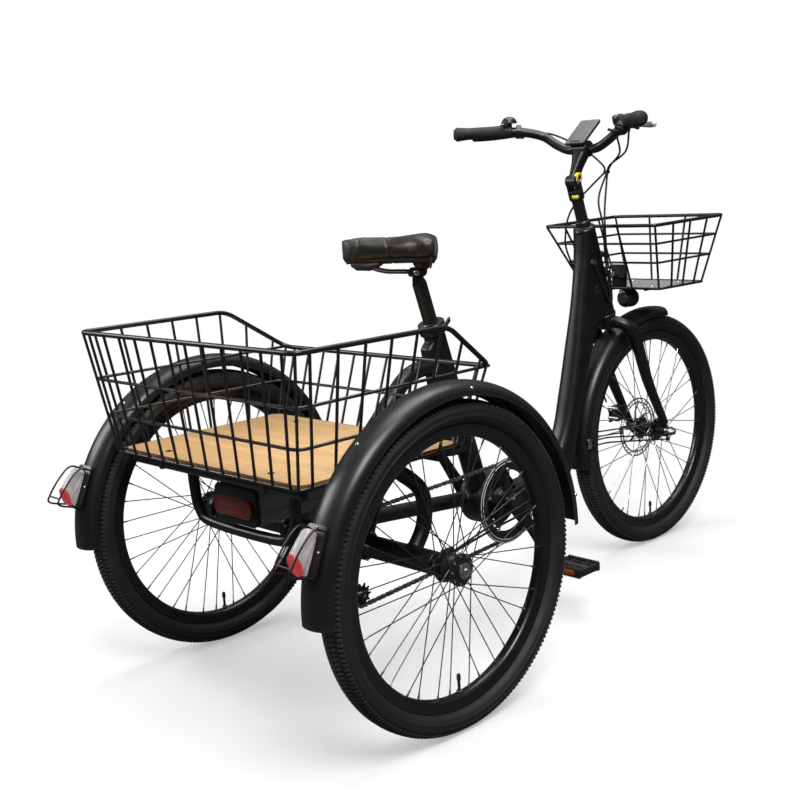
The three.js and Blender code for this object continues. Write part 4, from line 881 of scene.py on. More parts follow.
def blade():
    """The deep down-member from the head tube to the crank, lofted between its two edges."""
    rear_edge = [(0.872, 0.856), (0.866, 0.780), (0.848, 0.680), (0.825, 0.574), (0.796, 0.461),
                 (0.765, 0.368), (0.715, 0.305), (0.620, 0.285), (0.505, 0.290)]
    front_edge = [(0.900, 0.850), (0.930, 0.775), (0.962, 0.668), (0.899, 0.572), (0.852, 0.450),
                  (0.822, 0.345), (0.778, 0.250), (0.660, 0.212), (0.505, 0.236)]
    half_width = [0.024, 0.026, 0.028, 0.029, 0.029, 0.029, 0.030, 0.032, 0.034]
    rear_path = curve([back(*p) for p in rear_edge], 6)
    front_path = curve([back(*p) for p in front_edge], 6)
    widths = np.interp(np.linspace(0, 1, len(rear_path)), np.linspace(0, 1, len(half_width)), half_width)
    rings = [oval((a + b) / 2, (a - b) / 2, X * w, 2.7, 40)
             for a, b, w in zip(rear_path, front_path, widths)]
    return skin(rings)


def gusset():
    """The flared plate behind the seat tube, with its hooked upper corner."""
    rings = []
    for lift, reach, half in ((0.130, 0.075, 0.019), (0.250, 0.062, 0.019), (0.330, 0.050, 0.018),
                              (0.385, 0.044, 0.017), (0.398, 0.030, 0.016), (0.404, 0.012, 0.014)):
        front = on_seat(lift) - Y * 0.010
        rings.append(oval(front.lerp(front + Y * (reach + 0.010), 0.5), Y * (reach + 0.010) / 2, X * half, 4.0, 28))
    return skin(rings)


def frame_bars():
    """Every welded bar of the frame, as overlapping shapes."""
    bars = [rod(on_head(0.008), on_head(HEAD_LENGTH - 0.008), 0.026, 40), blade()]
    bars.append(lathe([(-0.042, 0), (-0.042, 0.026), (0.042, 0.026), (0.042, 0)], BRACKET, X, 40))
    bars.append(lathe([(-0.034, 0), (-0.034, 0.058), (-0.030, 0.062), (0.036, 0.062), (0.040, 0.058),
                       (0.040, 0)], BRACKET, X, 48))
    bars.append(rod(on_seat(0.02), on_seat(SEAT_TUBE_TOP), 0.024, 32))
    arch = [on_seat(0.350), back(0.270, 0.586), back(0.205, 0.535), back(0.165, 0.497),
            back(0.130, 0.474), back(0.060, 0.471)]
    bars.append(tube(curve(arch, 6), 0.018, 28))
    bars.append(rod(back(0.075, 0.468), back(-0.040, 0.468), 0.012, 20))
    bars.append(gusset())
    front_y, back_y = DECK_LOW.y, DECK_HIGH.y
    for side in (-1, 1):
        rail = X * side * RAIL_X + Z * RAIL_Z
        bars.append(rod(rail + Y * (front_y + 0.008), rail + Y * (back_y - 0.008), 0.0098, 20))
        leg = [Vector((side * 0.252, REAR_AXLE.y + 0.030, RAIL_Z)), back(0.034, 0.425, side * 0.252),
               back(0.038, 0.360, side * 0.252), REAR_AXLE + X * side * 0.252]
        bars.append(tube(curve(leg, 7), 0.015, 20))
    reach = DECK_HIGH.x - 0.014
    for y in (front_y + 0.040, REAR_AXLE.y + 0.030, back_y - 0.020):
        bars.append(rod(Vector((-reach, y, RAIL_Z)), Vector((reach, y, RAIL_Z)), 0.0098, 20))
    loop_y = -0.187
    half = [back(loop_y, RAIL_Z, RAIL_X), back(loop_y, 0.425, RAIL_X - 0.002),
            back(loop_y, 0.378, RAIL_X - 0.014), back(loop_y, 0.357, RAIL_X - 0.058)]
    bars.append(tube(curve([*half, *reversed(mirrored_points(half))], 7), 0.011, 20))
    return bars + axle_bars()


def axle_bars():
    """The rear axle housing in two halves and the stays that hold it."""
    end_x = HALF_TRACK - 0.0388
    bars = []
    for low, high in ((0.020, end_x), (-end_x, CHAIN_X - 0.050)):
        bars.append(lathe([(low, 0.009), (low, 0.020), (low + 0.002, 0.022), (high - 0.002, 0.022),
                           (high, 0.020), (high, 0.009)], REAR_AXLE, X, 36, loop=True))
    bars.append(rod(BRACKET + X * 0.020, REAR_AXLE + X * 0.044, 0.017, 28))
    top_y = DECK_LOW.y + 0.040
    for x in (CHAIN_X - 0.072, 0.096):
        bars.append(rod(Vector((x, top_y, RAIL_Z)), REAR_AXLE + X * x, 0.012, 20))
        bars.append(lathe([(-0.010, 0.021), (-0.010, 0.029), (0.010, 0.029), (0.010, 0.021)],
                          REAR_AXLE + X * x, X, 36, loop=True))
    for lift in (0.060, 0.150):
        bars.append(rod(on_head(lift, 0, 0.020), on_head(lift, 0, 0.0455), 0.009, 20))
    return bars


def main_frame():
    """The frame welded into one skin, then its plugs, bolts and cable guides."""
    piece = Piece("frame_weldment")
    for shape in frame_bars():
        piece.add(shape, PAINT)
    obj = piece.build("frame", "main_frame", slot="frame_paint")
    welded(obj, 0.0024, 5)
    obj.data.materials.clear()
    obj.data.materials.append(PAINT)
    trim = Piece("frame_trim")
    port = back(0.906, 0.703, -0.0262)
    trim.add(lathe([(-0.003, 0), (-0.003, 0.0105), (0.0012, 0.0105), (0.0024, 0.0085), (0.0016, 0.0060),
                    (0.0004, 0.0055), (0.0004, 0)], port, -X, 32), PLASTIC)
    for x in (-0.0425, 0.0425):
        way = X * math.copysign(1, x)
        trim.add(lathe([(-0.001, 0.0125), (-0.001, 0.0225), (0.004, 0.0225), (0.005, 0.0215), (0.005, 0.0125)],
                       BRACKET + X * x, way, 36, loop=True), STEEL)
    for angle in range(0, 360, 60):
        a = math.radians(angle)
        bolt(trim, BRACKET + Vector((-0.034, 0.051 * math.cos(a), 0.051 * math.sin(a))), -X, 0.004)
    for x in (CHAIN_X - 0.072, 0.096):
        for y, z in ((0.034, 0.010), (-0.010, 0.034), (-0.034, -0.008), (0.010, -0.034)):
            bolt(trim, REAR_AXLE + Vector((x - 0.012, y * 0.72, z * 0.72)), -X, 0.0038)
    trim.build("frame", slot="frame_paint")


def headset():
    """The two bearing cups at the ends of the head tube."""
    lower = Piece("lower_headset_cup")
    lower.add(lathe([(0.0004, 0.0162), (0.0004, 0.027), (0.0012, 0.028), (0.0066, 0.028),
                     (0.0076, 0.027), (0.0076, 0.0162)], HEAD_LOW, HEAD_WAY, 48, loop=True), SATIN)
    lower.build("frame", "headset_lower", slot="satin_steel")
    upper = Piece("upper_headset_cup")
    top = HEAD_LENGTH - 0.008
    upper.add(lathe([(top + 0.0004, 0.0162), (top + 0.0004, 0.0272), (top + 0.004, 0.0276),
                     (top + 0.0060, 0.0262), (top + 0.0085, 0.0236), (top + 0.0095, 0.0215),
                     (top + 0.0095, 0.0162)], HEAD_LOW, HEAD_WAY, 48, loop=True), SATIN)
    upper.build("frame", "headset_upper", slot="satin_steel")

# Fork, front axle and brake.

DROPOUT_X = 0.057


def fork():
    """Crown, steerer and two legs that bow out over the wheel and taper to the axle."""
    piece = Piece("fork_weldment")
    piece.add(rod(on_head(-0.020), on_head(HEAD_LENGTH - 0.002), 0.0148, 32), PAINT)
    piece.add(lathe([(-0.031, 0), (-0.031, 0.019), (-0.028, 0.022), (-0.006, 0.026), (-0.0006, 0.026),
                     (-0.0006, 0)], HEAD_LOW, HEAD_WAY, 40), PAINT)
    for side in (-1, 1):
        leg = [on_head(-0.017, side * 0.006), on_head(-0.019, side * 0.034, 0.003),
               on_head(-0.036, side * 0.056, 0.012), on_head(-0.068, side * (DROPOUT_X + 0.002), 0.024),
               Vector((side * DROPOUT_X, FRONT_AXLE.y + 0.088, 0.455)),
               Vector((side * DROPOUT_X, FRONT_AXLE.y + 0.012, FRONT_AXLE.z + 0.022))]
        piece.add(tube(curve(leg, 9), [0.0150, 0.0152, 0.0158, 0.0155, 0.0135, 0.0105], 28), PAINT)
        lug = FRONT_AXLE + X * side * (DROPOUT_X - 0.008)
        piece.add(lathe([(-0.0045, 0.0058), (-0.0045, 0.0150), (-0.0035, 0.0165), (0.0035, 0.0165),
                         (0.0045, 0.0150), (0.0045, 0.0058)], lug, X, 32, loop=True), PAINT)
        piece.add(rod(lug + Vector((side * 0.003, 0.004, 0.012)),
                      Vector((side * DROPOUT_X, FRONT_AXLE.y + 0.016, FRONT_AXLE.z + 0.030)), 0.0075, 16), PAINT)
    obj = piece.build("steering", "fork", slot="frame_paint")
    welded(obj, 0.0014, 4)
    obj.data.materials.clear()
    obj.data.materials.append(PAINT)


def front_axle():
    """The threaded front axle with its nuts and washers."""
    piece = Piece("front_axle_and_nuts")
    piece.add(rod(FRONT_AXLE - X * 0.081, FRONT_AXLE + X * 0.081, 0.0049, 20), STEEL)
    for side in (-1, 1):
        piece.add(lathe([(0.0545, 0.0050), (0.0545, 0.0125), (0.0565, 0.0125), (0.0565, 0.0050)],
                        FRONT_AXLE, X * side, 28, loop=True), STEEL)
        piece.add(rod(FRONT_AXLE + X * side * 0.0708, FRONT_AXLE + X * side * 0.0785, 0.0095, 6), STEEL)
        piece.add(lathe([(0.066, 0.0050), (0.066, 0.0120), (0.0705, 0.0120), (0.0705, 0.0050)],
                        FRONT_AXLE, X * side, 28, loop=True), STEEL)
    piece.build("steering", "front_axle", slot="chain_steel")


def brake_caliper():
    """A cable disc caliper: two halves round the disc, its mount, bolts and adjuster."""
    low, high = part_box("brake_caliper")
    piece = Piece("disc_caliper")
    disc_x = middle("brake_rotor").x
    size = high - low
    for x0, x1 in ((low.x, disc_x - 0.0030), (disc_x + 0.0030, disc_x + 0.0150)):
        piece.add(block((x0, low.y + 0.004, low.z + 0.003), (x1, high.y - 0.004, high.z - 0.003), 0.003), SATIN)
        piece.add(lathe([(-0.001, 0), (-0.001, 0.013), (0.001, 0.013), (0.001, 0)],
                        Vector(((x0 + x1) / 2, low.y + size.y * 0.45, low.z + size.z * 0.45)), X, 24), HUB)
    piece.add(block((low.x, high.y - 0.011, low.z), (high.x - 0.016, high.y, high.z), 0.003), SATIN)
    for lift in (0.2, 0.8):
        spot = Vector((disc_x, high.y, low.z + size.z * lift))
        piece.add(rod(spot - X * 0.010, spot + X * 0.022, 0.0042, 16), STEEL)
    boss = Vector((disc_x + 0.012, low.y + size.y * 0.45, low.z + size.z * 0.5))
    piece.add(lathe([(0, 0), (0, 0.0135), (0.006, 0.0125), (0.0085, 0.009), (0.0085, 0)], boss, X, 28), SATIN)
    piece.build("steering", "brake_caliper", slot="satin_steel")
    arm_low, arm_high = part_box("caliper_arm")
    arm = Piece("caliper_pull_arm")
    hinge = pivot("pad_arm_swing")
    arm.add(block((arm_low.x + 0.0022, arm_low.y, arm_low.z), (arm_low.x + 0.0062, arm_high.y, arm_high.z),
                  0.0015), SATIN)
    arm.add(lathe([(-0.0045, 0), (-0.0045, 0.007), (0.004, 0.007), (0.005, 0.005), (0.005, 0)], hinge, X, 24), STEEL)
    clamp = Vector((hinge.x + 0.003, middle("caliper_arm").y, arm_low.z + 0.006))
    arm.add(rod(clamp - X * 0.003, clamp + X * 0.005, 0.0042, 6), STEEL)
    arm.build("pad_arm", "caliper_arm", slot="satin_steel")


# Stem, handlebar and controls.

STEM_PIVOT = pivot("stem_tilt")
BAR_RADIUS = 0.011
BAR_CENTRE = back(0.893, 1.042)
GRIP_INNER, GRIP_OUTER = back(0.823, 1.095, 0.182), back(0.739, 1.095, 0.272)
GRIP_WAY = (GRIP_OUTER - GRIP_INNER).normalized()
DISPLAY_TILT = 38
STEM_LIFT = (STEM_PIVOT - HEAD_LOW).dot(HEAD_WAY)
BAR_LEFT = [BAR_CENTRE, BAR_CENTRE + X * 0.040, back(0.891, 1.056, 0.074), back(0.885, 1.079, 0.112),
            back(0.851, 1.092, 0.150), GRIP_INNER]


def bar_path(steps=10):
    """The handlebar's bend from the right grip to the left one."""
    right = list(reversed(mirrored_points(BAR_LEFT[1:])))
    return curve([*right, *BAR_LEFT], steps)


def on_bar(distance):
    """A point on the left half of the bar, measured back from the grip, and its direction there."""
    path = curve(BAR_LEFT, 24)
    for before, after in zip(reversed(path[:-1]), reversed(path[1:])):
        run = (after - before).length
        if distance <= run:
            return after.lerp(before, distance / run), (after - before).normalized()
        distance -= run
    return path[0], X


def stem():
    """The post in the head tube, the hinged arm on top and the locking button."""
    post = Piece("stem_post_tube")
    post.add(rod(on_head(HEAD_LENGTH + 0.002), on_head(STEM_LIFT - 0.034), 0.0143, 32), PAINT)
    post.add(lathe([(HEAD_LENGTH + 0.0016, 0), (HEAD_LENGTH + 0.0016, 0.0185), (HEAD_LENGTH + 0.014, 0.0180),
                    (HEAD_LENGTH + 0.017, 0.0150), (HEAD_LENGTH + 0.017, 0)], HEAD_LOW, HEAD_WAY, 40), SATIN)
    low = STEM_LIFT - 0.046
    post.add(lathe([(low, 0), (low, 0.0165), (low + 0.003, 0.0185), (low + 0.022, 0.0185),
                    (low + 0.025, 0.0170), (low + 0.025, 0)], HEAD_LOW, HEAD_WAY, 40), PAINT)
    clip = on_head(low + 0.012, -0.007, -0.0135)
    turn = Y.rotation_difference(Vector((-0.42, 0.85, 0.3)).normalized()).to_matrix()
    post.add(block(clip - Vector((0.0085, 0.0050, 0.0058)), clip + Vector((0.0085, 0.0055, 0.0058)), 0.0040, turn), YELLOW)
    for side in (-1, 1):
        post.add(lathe([(0.0096, 0), (0.0096, 0.0145), (0.0138, 0.0145), (0.0144, 0.0130), (0.0144, 0)],
                       STEM_PIVOT, X * side, 32), PAINT)
        cheek_low = on_head(STEM_LIFT - 0.034, side * 0.0120)
        cheek_high = on_head(STEM_LIFT, side * 0.0120)
        turn = Y.rotation_difference(HEAD_WAY).to_matrix()
        mid = (cheek_low + cheek_high) / 2
        half = Vector((0.0023, (cheek_high - cheek_low).length / 2, 0.0125))
        post.add(block(mid - half, mid + half, 0.0015, turn), PAINT)
    post.add(rod(STEM_PIVOT - X * 0.0160, STEM_PIVOT + X * 0.0160, 0.0040, 20), STEEL)
    for side in (-1, 1):
        bolt(post, STEM_PIVOT + X * side * 0.0146, X * side, 0.0070)
    post.build("steering", "stem_post", slot="frame_paint")

    arm = Piece("stem_tilt_arm")
    way = (BAR_CENTRE - STEM_PIVOT).normalized()
    up = X.cross(way)
    rings = []
    for share, across, depth in ((0.0, 0.0090, 0.0140), (0.18, 0.0088, 0.0150), (0.5, 0.0125, 0.0150),
                                 (0.8, 0.0190, 0.0165), (1.0, 0.0215, 0.0160)):
        rings.append(oval(STEM_PIVOT.lerp(BAR_CENTRE, share), X * across, up * depth, 3.0, 36))
    arm.add(skin(rings), PAINT)
    arm.add(lathe([(-0.0090, 0.0046), (-0.0090, 0.0136), (0.0090, 0.0136), (0.0090, 0.0046)],
                  STEM_PIVOT, X, 32, loop=True), PAINT)
    arm.add(lathe([(-0.0220, 0.0118), (-0.0220, 0.0180), (-0.0205, 0.0195), (0.0205, 0.0195),
                   (0.0220, 0.0180), (0.0220, 0.0118)], BAR_CENTRE, X, 40, loop=True), PAINT)
    for x in (-0.014, 0.014):
        bolt(arm, BAR_CENTRE + Vector((x, 0, 0)) - way * -0.0185, way, 0.0040)
    side_button = STEM_PIVOT.lerp(BAR_CENTRE, 0.12) - X * 0.0130
    arm.add(lathe([(-0.004, 0), (-0.004, 0.0118), (0.0026, 0.0118), (0.0040, 0.0100), (0.0040, 0.0070),
                   (0.0026, 0.0062), (0.0026, 0)], side_button, -X, 32), YELLOW)
    arm.add(lathe([(0.0020, 0), (0.0020, 0.0050), (0.0044, 0.0042), (0.0048, 0)], side_button, -X, 24), PLASTIC)
    arm.build("bars", "stem_arm", slot="frame_paint")


def handlebar():
    piece = Piece("handlebar_tube")
    piece.add(tube(bar_path(), BAR_RADIUS, 24), PAINT)
    for side in (1, -1):
        straight = rod(GRIP_INNER - GRIP_WAY * 0.004, GRIP_OUTER - GRIP_WAY * 0.006, BAR_RADIUS, 24)
        piece.add(straight if side > 0 else flipped(straight), PAINT)
    piece.build("bars", "handlebar", slot="frame_paint")


def grip(name, side):
    """A rubber grip with a palm rest, rings at both ends and fine ribs."""
    piece = Piece(f"{name}_rubber")
    length = (GRIP_OUTER - GRIP_INNER).length
    rear = GRIP_WAY.cross(Z).normalized()
    rear = rear if rear.y > 0 else -rear
    rings = []
    count = 64
    for i in range(count + 1):
        t = i / count
        base = float(np.interp(t, [0, 0.04, 0.08, 0.35, 0.75, 0.93, 0.97, 1.0],
                               [0.0172, 0.0176, 0.0158, 0.0150, 0.0166, 0.0176, 0.0170, 0.0120]))
        rest = 0.0050 * math.exp(-((t - 0.72) / 0.20) ** 2)
        rib = 0.0005 * (0.5 + 0.5 * math.cos(2 * math.pi * t * 26)) if 0.12 < t < 0.9 else 0
        spot = GRIP_INNER + GRIP_WAY * (length * t) + rear * rest
        rings.append(oval(spot, rear * (base + rest - rib), Z * (base - rest * 0.35 - rib), 2.1, 32))
    shape = skin(rings)
    piece.add(shape if side > 0 else flipped(shape), SOFT)
    collar = lathe([(-0.006, 0.0118), (-0.006, 0.0165), (-0.005, 0.0172), (-0.0005, 0.0172), (0, 0.0118)],
                   GRIP_INNER, GRIP_WAY, 36, loop=True)
    piece.add(collar if side > 0 else flipped(collar), PLASTIC)
    end = lathe([(length - 0.001, 0.0), (length - 0.001, 0.0125), (length + 0.002, 0.0125),
                 (length + 0.003, 0.010), (length + 0.003, 0)], GRIP_INNER, GRIP_WAY, 28)
    piece.add(end if side > 0 else flipped(end), PLASTIC)
    piece.build("bars", name, slot="grip_rubber")


def collar(distance, radius, length, segments=32):
    """A ring round the bar at a distance from the grip."""
    spot, way = on_bar(distance)
    half = length / 2
    return lathe([(-half, BAR_RADIUS + 0.0004), (-half, radius - 0.001), (-half + 0.001, radius),
                  (half - 0.001, radius), (half, radius - 0.001), (half, BAR_RADIUS + 0.0004)],
                 spot, way, segments, loop=True)


def brake_lever(name, side, look):
    """A lever perch on the bar and its blade, with a ball end."""
    hinge = pivot("brake_lever_left_pull")
    spot, _ = on_bar(0.034)
    perch = Piece(f"{name}_clamp_body")
    side_of = (lambda s: s) if side > 0 else flipped
    perch.add(side_of(collar(0.034, 0.0165, 0.013)), SATIN)
    rings = []
    for share, wide, tall in ((0.25, 0.009, 0.011), (0.6, 0.0085, 0.010), (0.95, 0.0085, 0.0105),
                              (1.15, 0.0070, 0.0100)):
        rings.append(oval(spot.lerp(hinge, share), GRIP_WAY * wide, Z * tall, 2.8, 28))
    perch.add(side_of(skin(rings)), SATIN)
    perch.add(side_of(rod(hinge - Z * 0.0115, hinge + Z * 0.0115, 0.0030, 16)), STEEL)
    perch.add(side_of(lathe([(0.0105, 0), (0.0105, 0.0058), (0.0125, 0.0050), (0.0125, 0)], hinge, Z, 20)), STEEL)
    barrel = hinge - GRIP_WAY * 0.014 + Y * -0.004
    perch.add(side_of(lathe([(0, 0), (0, 0.0048), (0.010, 0.0048), (0.011, 0.0036), (0.019, 0.0036), (0.019, 0)],
                            barrel, -GRIP_WAY, 18)), STEEL if side < 0 else SATIN)
    perch.build("bars", f"lever_perch_{'left' if side > 0 else 'right'}", slot="satin_steel")
    blade_piece = Piece(f"{name}_blade")
    points = [hinge, hinge + GRIP_WAY * 0.020 + Vector((0.003, -0.005, -0.001)),
              hinge + GRIP_WAY * 0.058 + Vector((0.005, -0.0095, -0.003)),
              hinge + GRIP_WAY * 0.095 + Vector((0.006, -0.0090, -0.005)),
              hinge + GRIP_WAY * 0.118 + Vector((0.007, -0.0075, -0.006))]
    path = curve(points, 7)
    rings = []
    for i, point in enumerate(path):
        t = i / (len(path) - 1)
        tall = float(np.interp(t, [0, 0.2, 0.6, 0.9, 1.0], [0.0062, 0.0060, 0.0072, 0.0060, 0.0055]))
        rings.append(oval(point, Y * 0.0029, Z * tall, 2.6, 20))
    blade_piece.add(side_of(skin(rings)), look)
    ball = lathe([(-0.0058 * math.cos(a), 0.0058 * math.sin(a)) for a in np.linspace(0, math.pi, 11)],
                 points[-1], GRIP_WAY, 20)
    blade_piece.add(side_of(ball), look)
    blade_piece.add(side_of(lathe([(-0.0036, 0.0032), (-0.0036, 0.0075), (0.0036, 0.0075), (0.0036, 0.0032)],
                                  hinge, Z, 24, loop=True)), look)
    word = "left" if side > 0 else "right"
    blade_piece.build(f"lever_{word}", f"brake_lever_{word}", slot="alloy")


def bell():
    spot, _ = on_bar(0.012)
    piece = Piece("bell_dome")
    piece.add(collar(0.012, 0.0150, 0.011), PLASTIC)
    piece.add(lathe([(0.008, 0), (0.008, 0.0075), (0.020, 0.0065), (0.020, 0.0175), (0.0205, 0.0190),
                     (0.0235, 0.0190), (0.0280, 0.0172), (0.0320, 0.0140), (0.0350, 0.0090), (0.0365, 0.0030),
                     (0.0368, 0)], spot, Z, 48), SATIN)
    piece.add(lathe([(0.0362, 0), (0.0362, 0.0034), (0.0378, 0.0028), (0.0382, 0)], spot, Z, 20), STEEL)
    piece.add(lathe([(0.0205, 0.0188), (0.0205, 0.0194), (0.0225, 0.0194), (0.0225, 0.0188)],
                    spot, Z, 48, loop=True), STEEL)
    piece.build("bars", "bell", slot="satin_steel")
    striker = Piece("bell_thumb_lever")
    hinge = pivot("bell_lever_turn")
    striker.add(lathe([(-0.003, 0), (-0.003, 0.005), (0.003, 0.005), (0.003, 0)], hinge, Z, 24), PLASTIC)
    striker.add(block(hinge + Vector((-0.0045, 0.002, -0.0018)), hinge + Vector((0.0045, 0.018, 0.0018)),
                      0.0015), PLASTIC)
    striker.build("bell_striker", "bell_lever", slot="satin_steel")


def shifter():
    """The gear shifter pod and its paddle by the right grip, and a switch pod beside it."""
    way = axis_of("shifter_turn")
    top = pivot("shifter_turn")
    piece = Piece("gear_shifter_body")
    piece.add(flipped(collar(0.012, 0.0172, 0.016)), PLASTIC)
    piece.add(lathe([(-0.022, 0), (-0.022, 0.0130), (-0.018, 0.0155), (-0.004, 0.0162), (-0.0010, 0.0150),
                     (0.0, 0.0120), (0.0, 0)], top, way, 40), PLASTIC)
    switch, _ = on_bar(0.058)
    switch = Vector((-switch.x, switch.y, switch.z))
    piece.add(flipped(collar(0.058, 0.0160, 0.012)), PLASTIC)
    piece.add(block(switch + Vector((-0.013, 0.006, 0.000)), switch + Vector((0.011, 0.026, 0.024)), 0.005,
                    Matrix.Rotation(math.radians(-18), 3, "X")), PLASTIC)
    dome = switch + Vector((-0.001, 0.024, 0.018))
    piece.add(lathe([(0, 0), (0, 0.0062), (0.0020, 0.0060), (0.0042, 0.0042), (0.0050, 0)],
                    dome, Vector((0, 0.86, 0.5)), 28), STEEL)
    piece.build("bars", "shifter", slot="satin_steel")
    paddle = Piece("gear_shifter_paddle")
    paddle.add(lathe([(0.0004, 0), (0.0004, 0.0118), (0.0040, 0.0118), (0.0055, 0.0100), (0.0060, 0)],
                     top, way, 36), SOFT)
    start = top + way * 0.0045
    end = start + Vector((0.024, 0.008, 0.0056))
    paddle.add(tube(curve([start, start.lerp(end, 0.5) + way * 0.001, end], 6), (0.0036, 0.0048), 18, flat=0.7), SOFT)
    paddle.build("shifter_paddle", "shifter_lever", slot="grip_rubber")


def display():
    """A flat screen on a bracket in front of the stem."""
    centre = middle("display")
    tilt = math.radians(DISPLAY_TILT)
    up = Vector((0, -math.cos(tilt), math.sin(tilt)))
    normal = -X.cross(up)
    piece = Piece("display_panel")
    piece.add(rounded_slab(0.029, 0.045, 0.006, 0.0066, 0.0014, centre, -X, up), PLASTIC)
    piece.add(rounded_slab(0.0278, 0.0436, 0.005, 0.0012, 0.0004, centre + normal * 0.0031, -X, up), SCREEN)
    piece.add(rounded_slab(0.0150, 0.0030, 0.0025, 0.0010, 0.0003, centre + normal * 0.0036 - up * 0.037, -X, up),
              PLASTIC)
    for x in (-0.014, 0.014):
        foot = BAR_CENTRE + Vector((x, 0.004, 0.018))
        piece.add(tube(curve([foot, foot + Vector((0, 0.000, 0.008)), centre + X * x - normal * 0.002], 4),
                       0.0034, 12), PLASTIC)
    piece.build("bars", "display", slot="display_plastic")


def add_steering():
    headset()
    fork()
    front_axle()
    brake_caliper()
    stem()
    handlebar()
    grip("grip_left", 1)
    grip("grip_right", -1)
    brake_lever("left_brake", 1, SATIN)
    brake_lever("right_brake", -1, SILVER)
    bell()
    shifter()
    display()


# Seat.

SADDLE_TURN = math.radians(131)
SEAT_POST_TOP = 0.546
SETBACK = 0.007
SADDLE_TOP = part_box("saddle")[1].z
SADDLE_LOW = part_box("saddle")[0].z
CLAMP = pivot("saddle_turn")


def seat_matrix():
    """Turns the saddle, drawn with its nose along -Y over the clamp, to its place."""
    return Matrix.Translation((0, CLAMP.y, 0)) @ Matrix.Rotation(SADDLE_TURN, 4, "Z")


def saddle_half_width(y):
    """Half the saddle's width at a distance behind its clamp."""
    return float(np.interp(y - SETBACK, [-0.158, -0.154, -0.148, -0.130, -0.110, -0.062, -0.030, 0.000, 0.016,
                                         0.034, 0.040, 0.044],
                           [0.012, 0.021, 0.026, 0.032, 0.036, 0.042, 0.060, 0.079, 0.084, 0.080, 0.068, 0.030]))


def saddle_shape(inset=0.0, sections=46, sides=44):
    """The padded form: rounded top, full flanks and an underside that tucks in."""
    ys = [-0.158 + 0.202 * (0.5 - 0.5 * math.cos(math.pi * i / sections)) for i in range(sections + 1)]
    rings = []
    for y in ys:
        half = max(0.003, saddle_half_width(y) - inset)
        nose = max(0.0, min(1.0, (y + 0.158) / 0.016))
        tail = max(0.0, min(1.0, (0.044 - y) / 0.014))
        end = 0.88 + 0.12 * math.sqrt(min(nose, tail))
        rise = float(np.interp(y, [-0.158, -0.10, -0.04, 0.0, 0.044], [0.006, 0.001, -0.002, 0.0, 0.003]))
        arch = -0.003 * math.exp(-((y - 0.026) / 0.022) ** 2)
        top, low = SADDLE_TOP + 0.002 + rise - inset, SADDLE_LOW - 0.006 + arch + inset
        mid, tall = (top + low) / 2, (top - low) / 2 * end
        ring = []
        for k in range(sides):
            angle = 2 * math.pi * k / sides
            c, s = math.cos(angle), math.sin(angle)
            x = half * math.copysign(abs(c) ** 0.72, c)
            z = tall * math.copysign(abs(s) ** 0.80, s)
            dish = -0.0045 * math.exp(-(x / 0.022) ** 2) * (1 if s > 0.5 else 0) * min(1, nose)
            wing = 0.008 * max(0.0, (abs(x) - 0.045) / 0.04) * (1 if s > 0 else 0)
            tuck = 0.90 if s < -0.6 else 1.0
            ring.append(Vector((x * tuck, y, mid + z + dish + wing)))
        rings.append(ring)
    return skin(rings)


def swollen(piece, voxel, cap):
    """Blows the mesh up by a short cloth simulation, with no point moving past the cap."""
    remesh = piece.modifiers.new("even", "REMESH")
    remesh.mode, remesh.voxel_size = "VOXEL", voxel
    applied(piece)
    start = np.array([v.co for v in piece.data.vertices], float)
    cloth = piece.modifiers.new("pad", "CLOTH")
    cloth.settings.quality = 5
    cloth.settings.mass = 0.3
    cloth.settings.tension_stiffness = cloth.settings.compression_stiffness = 12
    cloth.settings.bending_stiffness = 1.5
    cloth.settings.use_pressure = True
    cloth.settings.uniform_pressure_force = 4
    cloth.settings.effector_weights.gravity = 0
    scene = bpy.context.scene
    for number in range(1, 21):
        scene.frame_set(number)
    applied(piece)
    scene.frame_set(1)
    end = np.array([v.co for v in piece.data.vertices], float)
    step = end - start
    length = np.linalg.norm(step, axis=1, keepdims=True)
    step *= np.minimum(1, cap / np.maximum(length, 1e-9))
    piece.data.vertices.foreach_set("co", (start + step).astype(np.float32).ravel())
    piece.data.update()
    return piece


def saddle_surface(tree, y, angle):
    """Where a ray from the pad's core meets its skin, in the saddle's own frame."""
    core = Vector((0, y, (SADDLE_TOP + SADDLE_LOW) / 2))
    way = Vector((math.cos(angle), 0, math.sin(angle)))
    spot, normal, _, _ = tree.ray_cast(core + way * 0.2, -way)
    return (spot, normal) if spot else (core, way)


def press_seams(mesh):
    """Draws the sewn channels of the pad into its skin."""
    normals = [v.normal.copy() for v in mesh.vertices]
    for v, normal in zip(mesh.vertices, normals):
        y, z = v.co.y, v.co.z
        groove = 0.0
        for seam in (-0.128, -0.052):
            lean = (z - SADDLE_LOW) * (0.18 if seam < -0.1 else -0.25)
            groove = max(groove, math.exp(-((y - seam - lean) / 0.0020) ** 2))
        lower = math.exp(-((z - SADDLE_LOW - 0.004) / 0.0016) ** 2)
        depth = 0.0013 * max(groove, lower * (1 if abs(v.co.x) > 0.01 or y < -0.14 else 0))
        v.co -= normal * depth


